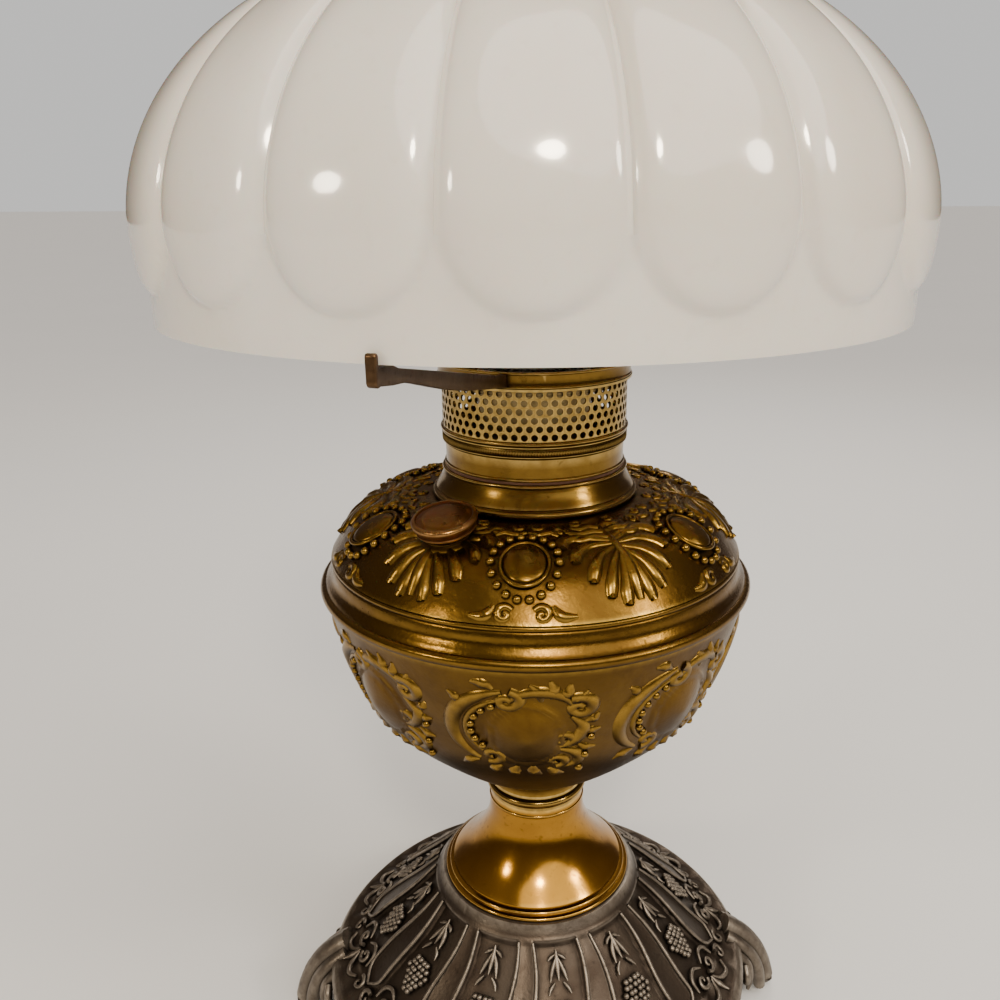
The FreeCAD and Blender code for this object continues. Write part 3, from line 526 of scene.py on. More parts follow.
class Groups:
    """Node groups that several finishes share."""

    def __init__(self) -> None:
        """Build each group once."""
        self.wear_and_shade = self._wear_and_shade()
        self.age = self._age()

    @staticmethod
    def _start(name: str, inputs: Sequence[tuple[str, str, float]], outputs: Sequence[str]) -> Graph:
        """Make a group with named sockets and return its empty graph."""
        tree = bpy.data.node_groups.new(name, "ShaderNodeTree")
        for label, kind, value in inputs:
            socket = tree.interface.new_socket(name=label, in_out="INPUT", socket_type=kind)
            if kind == "NodeSocketFloat":
                socket.default_value = value
        for label in outputs:
            tree.interface.new_socket(name=label, in_out="OUTPUT", socket_type="NodeSocketFloat")
        return Graph(tree)

    @staticmethod
    def _wear_and_shade() -> bpy.types.NodeTree:
        """Masks of rubbed ridges, and of recesses darkened by ambient occlusion: painted shade in recesses, which also
        stands for grime there.
        """
        graph = Groups._start("rubbed_and_recess_shade",
                              [("Vector", "NodeSocketVector", 0), ("Reach", "NodeSocketFloat", 0.0015),
                                                      ("Ridge Width", "NodeSocketFloat", 0.06)], ["Ridge", "Recess"])
        source = graph.node("NodeGroupInput")
        point = graph.node("ShaderNodeNewGeometry").outputs["Pointiness"]
        breakup = graph.noise(source.outputs["Vector"], 260.0, 3.0)
        top = graph.maths("ADD", 0.51, source.outputs["Ridge Width"])
        ridge = graph.maths("MULTIPLY", graph.span(point, 0.505, top), graph.span(breakup, 0.32, 0.6, 0.45, 1.0))
        # Painted shade: ambient occlusion darkens recesses; the same mask also stands for grime in hollows.
        shade = graph.node("ShaderNodeAmbientOcclusion", {"samples": 6}, Distance=source.outputs["Reach"])
        recess = graph.span(shade.outputs["AO"], 0.92, 0.45)
        recess = graph.maths("MULTIPLY", recess, graph.span(breakup, 0.3, 0.62, 0.7, 1.0))
        graph.node("NodeGroupOutput", Ridge=ridge, Recess=recess)
        return graph.tree

    @staticmethod
    def _age() -> bpy.types.NodeTree:
        """Masks of broad tarnish, small spots and fine rubbing, and a height of the skin."""
        graph = Groups._start("tarnish_and_spots",
                              [("Vector", "NodeSocketVector", 0), ("Blotch Scale", "NodeSocketFloat", 30.0),
                                                    ("Spot Scale", "NodeSocketFloat", 400.0)],
                              ["Blotch", "Spots", "Rub", "Height"])
        source = graph.node("NodeGroupInput")
        vector = source.outputs["Vector"]
        broad = graph.node("ShaderNodeTexNoise", Vector=vector, Scale=source.outputs["Blotch Scale"], Detail=6.0,
                           Roughness=0.62, Distortion=0.4).outputs["Fac"]
        spots = graph.node("ShaderNodeTexNoise", Vector=vector, Scale=source.outputs["Spot Scale"], Detail=3.0,
                           Roughness=0.5).outputs["Fac"]
        rub = graph.noise(vector, 900.0, 2.0)
        height = graph.maths("ADD", graph.maths("MULTIPLY", broad, 0.6), graph.maths("MULTIPLY", rub, 0.25))
        graph.node("NodeGroupOutput", Blotch=graph.span(broad, 0.34, 0.66), Spots=graph.span(spots, 0.6, 0.72),
                   Rub=rub, Height=height)
        return graph.tree


Colour = tuple[float, float, float]


@dataclass(frozen=True)
class MetalFinish:
    """A metal surface: its clean colour, its tarnish, its dirt with painted shade in recesses and underneath, and how
    glossy it is.
    """

    name: str
    clean: Colour
    tarnish: Colour
    # Colour of dirt, also used for painted shade in recesses and on faces that point down.
    dirt_and_shade: Colour
    rubbed: Colour
    roughness: float
    metallic: float = 1.0
    blotch_scale: float = 28.0
    tarnish_amount: float = 0.6
    # How strongly the recess mask darkens: painted shade in recesses, together with grime.
    dirt_and_shade_amount: float = 0.9
    grain_depth: float = 0.03
    grain_scale: float = 500.0
    # Painted shade: how much faces that point down are darkened.
    underside_shade: float = 0.35

    def material(self, groups: Groups) -> bpy.types.Material:
        """Build the material.

        Args:
            groups: The shared node groups.

        Returns:
            The material.
        """
        made = bpy.data.materials.new(self.name)
        made.use_nodes = True
        graph = Graph(made.node_tree)
        vector = graph.node("ShaderNodeTexCoord").outputs["Object"]
        wear_and_shade = graph.node("ShaderNodeGroup", {"node_tree": groups.wear_and_shade}, Vector=vector, Reach=RECESS_SHADE_REACH)
        age = graph.node("ShaderNodeGroup", {"node_tree": groups.age}, Vector=vector, Blotch_Scale=self.blotch_scale,
                         Spot_Scale=420.0)
        tarnish = graph.maths("MULTIPLY", age.outputs["Blotch"], self.tarnish_amount)
        colour = graph.mix(tarnish, (*self.clean, 1.0), (*self.tarnish, 1.0))
        colour = graph.mix(wear_and_shade.outputs["Ridge"], colour, (*self.rubbed, 1.0))
        # Painted shade: faces that point down get darker, as if in shadow.
        facing = graph.node("ShaderNodeSeparateXYZ", Vector=graph.node("ShaderNodeNewGeometry").outputs["Normal"])
        below = graph.span(facing.outputs["Z"], 0.1, -0.7, 0.0, self.underside_shade)
        # Darkening mask: painted shade in recesses and underneath, plus real dirt spots.
        dirt_and_shade = graph.maths("MAXIMUM", graph.maths("MULTIPLY", wear_and_shade.outputs["Recess"], self.dirt_and_shade_amount), below)
        dirt_and_shade = graph.maths("MAXIMUM", dirt_and_shade, graph.maths("MULTIPLY", age.outputs["Spots"], 0.35))
        colour = graph.mix(dirt_and_shade, colour, (*self.dirt_and_shade, 1.0))
        rough = graph.maths("ADD", graph.maths("MULTIPLY", age.outputs["Blotch"], 0.12), self.roughness)
        rough = graph.maths("ADD", rough, graph.maths("MULTIPLY", dirt_and_shade, 0.25))
        grain = graph.noise(vector, self.grain_scale, 3.0)
        height = graph.maths("ADD", age.outputs["Height"], graph.maths("MULTIPLY", grain, 0.8))
        shader = graph.node("ShaderNodeBsdfPrincipled", Base_Color=colour, Roughness=rough, Metallic=self.metallic,
                            Normal=graph.bump(height, self.grain_depth))
        graph.node("ShaderNodeOutputMaterial", Surface=shader.outputs["BSDF"])
        return made


@dataclass(frozen=True)
class OpalFinish:
    """Opal glass: milky, glossy and faintly uneven."""

    name: str = "opal_glass"
    milk: Colour = (0.86, 0.83, 0.77)
    warm: Colour = (0.80, 0.74, 0.65)
    roughness: float = 0.09

    def material(self, groups: Groups) -> bpy.types.Material:
        """Build the material.

        Args:
            groups: The shared node groups.

        Returns:
            The material.
        """
        made = bpy.data.materials.new(self.name)
        made.use_nodes = True
        graph = Graph(made.node_tree)
        vector = graph.node("ShaderNodeTexCoord").outputs["Object"]
        cloud = graph.span(graph.noise(vector, 9.0, 5.0), 0.35, 0.7)
        colour = graph.mix(cloud, (*self.milk, 1.0), (*self.warm, 1.0))
        age = graph.node("ShaderNodeGroup", {"node_tree": groups.age}, Vector=vector, Blotch_Scale=60.0,
                         Spot_Scale=260.0)
        colour = graph.mix(graph.maths("MULTIPLY", age.outputs["Spots"], 0.10), colour, (0.62, 0.55, 0.45, 1.0))
        rough = graph.maths("ADD", graph.maths("MULTIPLY", age.outputs["Blotch"], 0.06), self.roughness)
        ripple = graph.noise(vector, 22.0, 2.0, 0.4)
        shader = graph.node("ShaderNodeBsdfPrincipled", Base_Color=colour, Roughness=rough,
                            Normal=graph.bump(ripple, 0.5, 0.5), Subsurface_Weight=0.25, Subsurface_Scale=0.004,
                            Coat_Weight=0.6, Coat_Roughness=0.04)
        graph.node("ShaderNodeOutputMaterial", Surface=shader.outputs["BSDF"])
        return made


@dataclass(frozen=True)
class ClearFinish:
    """Clear blown glass with faint ripples and dust."""

    name: str = "clear_glass"
    tint: Colour = (0.97, 0.98, 0.97)

    def material(self, groups: Groups) -> bpy.types.Material:
        """Build the material.

        Args:
            groups: The shared node groups.

        Returns:
            The material.
        """
        made = bpy.data.materials.new(self.name)
        made.use_nodes = True
        graph = Graph(made.node_tree)
        vector = graph.node("ShaderNodeTexCoord").outputs["Object"]
        age = graph.node("ShaderNodeGroup", {"node_tree": groups.age}, Vector=vector, Blotch_Scale=24.0,
                         Spot_Scale=600.0)
        rough = graph.maths("ADD", graph.maths("MULTIPLY", age.outputs["Spots"], 0.12),
                            graph.maths("MULTIPLY", age.outputs["Blotch"], 0.03))
        ripple = graph.noise(vector, 35.0, 2.0, 0.4)
        shader = graph.node("ShaderNodeBsdfPrincipled", Base_Color=(*self.tint, 1.0), Roughness=rough, IOR=1.47,
                            Transmission_Weight=1.0, Normal=graph.bump(ripple, 0.4, 0.4))
        graph.node("ShaderNodeOutputMaterial", Surface=shader.outputs["BSDF"])
        return made


@dataclass(frozen=True)
class ClothFinish:
    """Woven cotton or pressed fibre: warp and weft that run round and along the lamp's axis."""

    name: str
    light: Colour
    dark: Colour
    threads: float
    charred: float = 0.0

    def material(self, groups: Groups) -> bpy.types.Material:
        """Build the material.

        Args:
            groups: The shared node groups.

        Returns:
            The material.
        """
        made = bpy.data.materials.new(self.name)
        made.use_nodes = True
        graph = Graph(made.node_tree)
        vector = graph.node("ShaderNodeTexCoord").outputs["Object"]
        parts = graph.node("ShaderNodeSeparateXYZ", Vector=vector)
        angle = graph.maths("ARCTAN2", parts.outputs["X"], parts.outputs["Y"])
        warp = graph.maths("SINE", graph.maths("MULTIPLY", angle, self.threads))
        weft = graph.maths("SINE", graph.maths("MULTIPLY", parts.outputs["Z"], 60.0 * self.threads))
        weave = graph.span(graph.maths("MULTIPLY", warp, weft), -1.0, 1.0)
        fuzz = graph.noise(vector, 1400.0, 3.0)
        colour = graph.mix(graph.maths("MULTIPLY", weave, fuzz), (*self.dark, 1.0), (*self.light, 1.0))
        age = graph.node("ShaderNodeGroup", {"node_tree": groups.age}, Vector=vector, Blotch_Scale=90.0,
                         Spot_Scale=500.0)
        stain = graph.maths("MULTIPLY", age.outputs["Blotch"], 0.4)
        colour = graph.mix(stain, colour, (*(0.6 * c for c in self.dark), 1.0))
        if self.charred:
            burnt = graph.span(graph.maths("ADD", parts.outputs["Z"], graph.maths("MULTIPLY", fuzz, 0.002)),
                               self.charred - 0.004, self.charred + 0.001)
            colour = graph.mix(burnt, colour, (0.02, 0.016, 0.012, 1.0))
        height = graph.maths("ADD", weave, graph.maths("MULTIPLY", fuzz, 0.5))
        shader = graph.node("ShaderNodeBsdfPrincipled", Base_Color=colour, Roughness=0.92,
                            Normal=graph.bump(height, 0.25), Sheen_Weight=0.3)
        graph.node("ShaderNodeOutputMaterial", Surface=shader.outputs["BSDF"])
        return made


class Finish(Enum):
    """The finishes of the lamp, by the record's slot names."""

    CAST_IRON = "cast_iron"
    POLISHED_BRASS = "polished_brass"
    ANTIQUE_BRASS = "antique_brass"
    BURNER_BRASS = "burner_brass"
    PLAIN_BRASS = "plain_brass"
    COPPER_CAP = "copper_cap"
    HOLDER_BRONZE = "holder_bronze"
    STEEL = "steel"
    OPAL_GLASS = "opal_glass"
    CLEAR_GLASS = "clear_glass"
    WICK_COTTON = "wick_cotton"
    CORK = "cork"
    FIBRE = "fibre"


class Palette:
    """All materials, made once, and the way a piece is dressed in one."""

    def __init__(self, wick_top: float) -> None:
        """Make every material.

        Args:
            wick_top: Level of the wick's top in metres.
        """
        groups = Groups()
        finishes = {
            Finish.CAST_IRON: MetalFinish("cast_iron", (0.085, 0.066, 0.050), (0.048, 0.032, 0.022),
                                          (0.008, 0.005, 0.003),
                                          (0.30, 0.255, 0.205), 0.36, 0.9, 45.0, 0.8, 0.97, 0.12, 700.0, 0.5),
            Finish.POLISHED_BRASS: MetalFinish("polished_brass", (0.47, 0.235, 0.032), (0.21, 0.092, 0.012),
                                               (0.05, 0.02, 0.004), (0.80, 0.50, 0.12), 0.09, 1.0, 22.0, 0.6, 0.8,
                                               0.02, 300.0, 0.75),
            Finish.ANTIQUE_BRASS: MetalFinish("antique_brass", (0.215, 0.118, 0.019), (0.088, 0.041, 0.008),
                                              (0.010, 0.0045, 0.0015), (0.33, 0.195, 0.035), 0.19, 1.0, 30.0, 0.85,
                                              0.98,
                                              0.10, 420.0, 0.92),
            Finish.BURNER_BRASS: MetalFinish("burner_brass", (0.25, 0.145, 0.026), (0.105, 0.054, 0.011),
                                             (0.022, 0.010, 0.003), (0.66, 0.45, 0.14), 0.14, 1.0, 34.0, 0.75, 0.95,
                                             0.03, 420.0, 0.6),
            Finish.PLAIN_BRASS: MetalFinish("plain_brass", (0.36, 0.24, 0.08), (0.18, 0.11, 0.035),
                                            (0.04, 0.025, 0.012), (0.62, 0.47, 0.22), 0.34, 1.0, 50.0, 0.7, 0.9,
                                            0.04, 500.0, 0.3),
            Finish.COPPER_CAP: MetalFinish("copper_cap", (0.20, 0.098, 0.026), (0.17, 0.045, 0.014),
                                           (0.06, 0.02, 0.010), (0.66, 0.40, 0.16), 0.24, 1.0, 60.0, 0.8, 0.9,
                                           0.05, 500.0, 0.4),
            Finish.HOLDER_BRONZE: MetalFinish("holder_bronze", (0.060, 0.034, 0.018), (0.034, 0.018, 0.010),
                                              (0.010, 0.006, 0.004), (0.17, 0.10, 0.05), 0.34, 1.0, 60.0, 0.7, 0.9,
                                              0.05, 600.0, 0.3),
            Finish.STEEL: MetalFinish("steel", (0.45, 0.44, 0.42), (0.26, 0.22, 0.18), (0.06, 0.04, 0.03),
                                      (0.6, 0.6, 0.58), 0.32, 1.0, 80.0, 0.6, 0.9, 0.03, 700.0, 0.2),
            Finish.OPAL_GLASS: OpalFinish(),
            Finish.CLEAR_GLASS: ClearFinish(),
            Finish.WICK_COTTON: ClothFinish("wick_cotton", (0.80, 0.73, 0.60), (0.45, 0.37, 0.26), 70.0, wick_top),
            Finish.CORK: ClothFinish("cork", (0.52, 0.36, 0.22), (0.28, 0.17, 0.09), 23.0),
            Finish.FIBRE: ClothFinish("fibre", (0.30, 0.15, 0.08), (0.14, 0.06, 0.03), 31.0),
        }
        self.materials = {key: finish.material(groups) for key, finish in finishes.items()}

    def dress(self, piece: bpy.types.Object, finish: Finish) -> None:
        """Give a piece one material all over."""
        piece.data.materials.clear()
        piece.data.materials.append(self.materials[finish])

    def dress_node(self, node: bpy.types.Object, slot: str) -> None:
        """Give a CAD node the material of its slot."""
        material = self.materials[Finish(slot)]
        if not node.material_slots:
            node.data.materials.append(material)
        for holder in node.material_slots:
            holder.material = material


@dataclass
class Piece:
    """One finished piece, the body it rides on and the CAD nodes it stands for."""

    item: bpy.types.Object
    body: str
    finish: Finish
    nodes: tuple[str, ...]

    def register(self, palette: Palette) -> None:
        """Dress the piece, hang it on its body's empty and hide the CAD nodes it stands for."""
        palette.dress(self.item, self.finish)
        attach(self.item, self.body)
        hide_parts(*self.nodes)
        self.item.data.calc_loop_triangles()
        LOG.info("%s rides on %s, %d triangles", self.item.name, self.body, len(self.item.data.loop_triangles))


# ---------------------------------------------------------------- base
@dataclass
class BaseCasting:
    """Cast base: a dome with straps and panels, a rim and four curled feet."""

    strap_count: int = 12
    strap_azimuth: float = -6.0
    foot_count: int = 4
    foot_azimuth: float = 3.0
    wall: float = 4.2
    rim_radius: float = 91.0
    rim_bottom: float = 9.0
    rim_top: float = 32.0
    seat_radius: float = 40.5
    opening: float = 20.0
    recess: float = 1.9
    segments: int = 444

    def __post_init__(self) -> None:
        """Work out the dome's outside from the frame."""
        self.seat = node_span("base_casting")[1]
        form = [(0.0, 0.0), (0.14, 0.04), (0.26, 0.15), (0.47, 0.39), (0.72, 0.68), (1.0, 1.0)]
        self.dome = flow(scaled_form(form, (self.rim_radius - 2.5, self.rim_top),
                                     (self.seat_radius + 2.0, self.seat - 3.9)), 62)
        self.skin = TurnedSkin(self.dome)

    def strap_shape(self, along: np.ndarray) -> tuple[np.ndarray, np.ndarray]:
        """Half-width of a strap and its sway to one side, in millimetres, at distances along the dome."""
        share = np.clip((self.skin.length - 1.5 - along) / (self.skin.length - 14.0), 0.0, 1.0)
        half = 2.6 + 3.2 * np.sin(0.5 * math.pi * np.clip(share * 1.25, 0.0, 1.0)) ** 1.3
        half *= np.sqrt(np.clip(1.0 - np.clip((share - 0.86) / 0.14, 0.0, 1.0) ** 2, 0.0, 1.0))
        sway = 1.1 * np.sin(TURN * np.clip(share, 0.0, 1.0))
        return half, sway

    def field(self, azimuth: np.ndarray, level: np.ndarray) -> np.ndarray:
        """Shares of the relief: raised straps and border, sunk panels."""
        radius = np.interp(level, self.skin.line[:, 1], self.skin.line[:, 0])
        along = np.interp(level, self.skin.line[:, 1], self.skin.run)
        pitch = TURN / self.strap_count
        offset = np.mod(azimuth - math.radians(self.strap_azimuth) + pitch / 2, pitch) - pitch / 2
        half, sway = self.strap_shape(along)
        across = np.abs(offset * radius - sway)
        edge = np.clip((half + 0.9 - across) / 0.9, 0.0, 1.0)
        bowl = 0.78 + 0.22 * np.clip(across / np.maximum(half, 0.1), 0.0, 1.0) ** 2
        strap = edge * edge * (3 - 2 * edge) * bowl
        top = np.clip((along - (self.skin.length - 3.2)) / 1.2, 0.0, 1.0)
        border = np.clip((11.5 - along) / 1.5, 0.0,
                         1.0) * (0.75 + 0.25 * np.cos(azimuth * 48) * np.clip(along / 4, 0, 1))
        return np.maximum(np.maximum(strap, top), border) * np.clip(along / 1.0 + 0.3, 0.0, 1.0)

    def ornament(self) -> list[bpy.types.Object]:
        """Strap edges, leaves, grapes and border scrolls."""
        chasing = Chasing(self.skin)
        pitch = 360.0 / self.strap_count
        top = self.skin.length - 2.4
        samples = np.linspace(top, 12.5, 12)
        half, sway = self.strap_shape(samples)
        grapes = []
        for index in range(self.strap_count):
            strap_at = self.strap_azimuth + index * pitch
            for side in (-1.0, 1.0):
                path = [(float(s + side * (h + 0.15)), float(a)) for a, h, s in zip(samples, half, sway)]
                chasing.stroke(strap_at, path, [0.6, 0.8, 0.9, 0.9, 0.8, 0.6], -0.15)
            panel_at = strap_at + pitch / 2
            self.leaf(chasing, panel_at, top - 9.0)
            grapes += self.cluster(panel_at, top - 25.0)
            self.scrolls(chasing, panel_at, 13.0)
        bunch = Bench.copies(Bench.pearl(1.25), grapes)
        return [chasing.build("base_chasing"), *bunch]

    def leaf(self, chasing: Chasing, azimuth: float, along: float) -> None:
        """A pointed leaf of three blades over two side tips."""
        blades = [((0, 6.5), (0, -4.5), 1.25), ((-0.4, 3.5), (-3.4, -5.0), 1.05), ((0.4, 3.5), (3.4, -5.0), 1.05),
                  ((-0.6, 4.8), (-3.6, 2.6), 0.8), ((0.6, 4.8), (3.6, 2.6), 0.8),
                  ((-1.6, -5.0), (-4.4, -9.4), 0.75), ((1.6, -5.0), (4.4, -9.4), 0.75)]
        for start, end, half in blades:
            middle = ((start[0] + end[0]) / 2 * 1.15, (start[1] + end[1]) / 2)
            path = [(p[0], along + p[1]) for p in (start, middle, end)]
            chasing.stroke(azimuth, path, [0.25, half, half * 0.9, 0.2], 0.15 + self.recess * 0.45 / half)

    def cluster(self, azimuth: float, along: float) -> list[Matrix]:
        """Places of the grapes of one bunch, wide at the top and tapering down."""
        rows = [(4, 3.2), (5, 1.1), (6, -1.1), (5, -3.2), (4, -5.2), (3, -7.1), (2, -8.9)]
        places = []
        for count, step in rows:
            for index in range(count):
                across = (index - (count - 1) / 2) * 2.15 + 0.3 * math.sin(9.1 * index + step)
                level = along + step
                at = self.skin.axes(self.skin.offset_azimuth(azimuth, across, level), level)
                lift = 0.35 * (1.0 - abs(across) / 7.0) - 0.75
                at = at @ Matrix.Translation(Vector((0, 0, lift)))
                at.translation *= MM
                places.append(at)
        return places

    def scrolls(self, chasing: Chasing, azimuth: float, along: float) -> None:
        """Paired scrolls between a bunch and the border, and tips that reach the rim."""
        for mirror in (False, True):
            chasing.stroke(azimuth, spiral((5.2, along + 1.0), 3.6, 200, 1.1), [0.9, 1.0, 0.8, 0.6], 0.5, mirror)
            chasing.stroke(azimuth, [(1.2, along + 4.5), (5.5, along + 7.5), (10.0, along + 5.5), (11.5, along + 0.5)],
                           [0.4, 0.9, 1.0, 0.5], 0.5, mirror)
            chasing.stroke(azimuth, [(0.8, along - 2.0), (4.0, along - 6.5), (9.0, along - 8.0), (12.5, along - 5.0)],
                           [0.5, 1.1, 1.2, 0.6], 0.1, mirror)
            chasing.stroke(azimuth, spiral((16.5, along - 4.5), 3.4, 120, -1.0), [0.9, 1.0, 0.8, 0.6], 0.1, mirror)
        chasing.stroke(azimuth, [(0, along - 1.5), (0, along - 6.0), (0, along - 10.5)], [0.5, 1.5, 0.5], 0.1)

    def foot_parts(self, azimuth: float) -> bpy.types.Object:
        """One foot: a broad curled toe with ribs, a scroll each side and small teeth."""
        reach = node_span("base_casting")[2]
        turn = math.radians(azimuth)

        def spot(r: float, across: float, z: float) -> Vector:
            """Turn foot coordinates to the lamp's."""
            return Vector((r * math.sin(turn) + across * math.cos(turn),
                           -r * math.cos(turn) + across * math.sin(turn), z))

        ribs = Chasing(self.skin)
        toe = flow([(84.0, 33.5), (91.0, 28.6), (97.5, 22.0), (reach - 7.6, 12.5), (reach - 4.8, 4.6)], 12)
        ribs.free([spot(r, 0.0, z) for r, z in toe], np.interp(range(12), [0, 3, 8, 11], [5.2, 5.6, 5.0, 4.3]))
        ribs.free([spot(reach - 4.8, 0.0, 4.6), spot(reach - 5.2, 0.0, 3.6), spot(reach - 6.6, 0.0, 2.8)],
                  [4.4, 3.9, 3.0])
        for side in (-1.0, 1.0):
            cheek = flow([(84.0, 32.0), (91.0, 27.0), (96.5, 20.5), (99.5, 14.0), (101.0, 8.0), (101.6, 4.6)], 10)
            ribs.free([spot(r, side * (5.6 + 1.6 * math.sin(0.3 * k)), z) for k, (r, z) in enumerate(cheek)],
                      np.interp(range(10), [0, 4, 9], [3.4, 3.8, 2.6]))
            tooth = flow([(86.0, 28.0), (92.0, 22.5), (94.5, 15.0), (94.0, 9.5)], 8)
            ribs.free([spot(r, side * (11.6 + 0.25 * k), z) for k, (r, z) in enumerate(tooth)],
                      np.interp(range(8), [0, 3, 7], [3.0, 3.1, 0.8]))
            curl = [(91.2 + 0.1 * k, side * (15.5 + v), 20.0 + w)
                    for k, (v, w) in enumerate(spiral((0.0, 0.0), 4.2, 90.0, -1.25, 14))]
            ribs.free([spot(r, a, z) for r, a, z in curl], np.linspace(1.7, 1.0, 14))
            ribs.free([spot(r, side * a, z) for r, a, z in
                       [(96.0, 1.9, 29.4), (101.6, 2.1, 23.4), (105.4, 2.0, 16.0), (107.6, 1.6, 9.0)]],
                       [0.5, 0.9, 0.9, 0.5])
        return ribs.build("foot", 4)

    def build(self) -> list[Piece]:
        """Make the casting.

        Returns:
            The piece.
        """
        flange = self.seat - self.wall
        inner = inset(self.dome, self.wall)[2:-2:6]
        rim = self.rim_radius
        outline = [(rim, self.rim_bottom), (rim, self.rim_bottom + 2.0), (rim - 1.2, self.rim_bottom + 2.8),
                   (rim - 1.2, self.rim_top - 6.5), (rim - 0.1, self.rim_top - 5.6), (rim, self.rim_top - 3.0),
                   *self.dome,
                   (self.seat_radius, self.seat), (self.opening, self.seat), (self.opening, flange),
                   (self.seat_radius - 3.5, flange), *inner, (rim - self.wall, self.rim_top - 6.0),
                   (rim - self.wall, self.rim_bottom)]
        body = Bench.turn("base_casting_shell", outline, self.segments, angle=50.0)
        lowest, highest = self.dome[0][1], self.dome[-1][1]

        def outside(radius: np.ndarray, level: np.ndarray) -> np.ndarray:
            """Vertices of the dome's outside, between the rim and the seat."""
            line = np.interp(level, self.skin.line[:, 1], self.skin.line[:, 0])
            return (np.abs(radius - line) < 0.6) & (level >= lowest) & (level <= highest + 0.01)

        Bench.emboss(body, -self.recess, lambda a, z: 1.0 - self.field(a, z), outside)
        feet = [self.foot_parts(self.foot_azimuth + 360.0 * k / self.foot_count) for k in range(self.foot_count)]
        piece = Bench.join("base_casting_cast", [body, *self.ornament(), *feet])
        return [Piece(piece, "base", Finish.CAST_IRON, ("base_casting",))]


# ---------------------------------------------------------------- pedestal
@dataclass
class Pedestal:
    """Spun cone with a moulded foot, and the beaded collar over it."""

    wall: float = 1.1
    segments: int = 160

    def build(self) -> list[Piece]:
        """Make the cone and the collar.

        Returns:
            The two pieces.
        """
        bottom, top, foot = node_span("pedestal_cone")
        collar_bottom, collar_top, bead = node_span("neck_collar")
        neck = bead - 1.3
        form = [(0.0, 0.0), (0.44, 0.24), (0.76, 0.49), (0.94, 0.73), (1.0, 1.0)]
        flare = flow(scaled_form(form, (foot - 3.4, bottom + 4.2), (neck, top - 4.0)), 40)
        outline = [(foot - 3.6, bottom), (foot - 0.3, bottom), *arc((foot - 0.75, bottom + 0.75), 0.75, -70, 80, 8),
                   (foot - 1.7, bottom + 1.75), *arc((foot - 2.3, bottom + 2.5), 0.62, -50, 80, 6),
                   (foot - 3.3, bottom + 3.4), *flare, (neck, top - 3.6),
                   *arc((neck, top - 2.7), 0.55, -80, 80, 7), (neck, top - 1.8), (neck, top),
                   (neck - self.wall, top), *inset(flare, self.wall)[::4]]
        cone = Bench.turn("pedestal_cone_spun", outline, self.segments)
        middle = (top + collar_top) / 2
        sleeve = neck - self.wall - 0.05
        ring = [(sleeve - 1.2, collar_bottom), (sleeve, collar_bottom), (sleeve, top), (neck, top),
                (neck, middle - 2.2), (neck - 0.35, middle - 1.9), *arc((bead - 1.55, middle), 1.55, -78, 78, 14),
                (neck - 0.35, middle + 1.9), (neck, middle + 2.2), (neck, collar_top), (sleeve - 1.2, collar_top)]
        collar = Bench.turn("neck_collar_turned", ring, self.segments)
        return [Piece(cone, "base", Finish.POLISHED_BRASS, ("pedestal_cone",)),
                Piece(collar, "base", Finish.BURNER_BRASS, ("neck_collar",))]


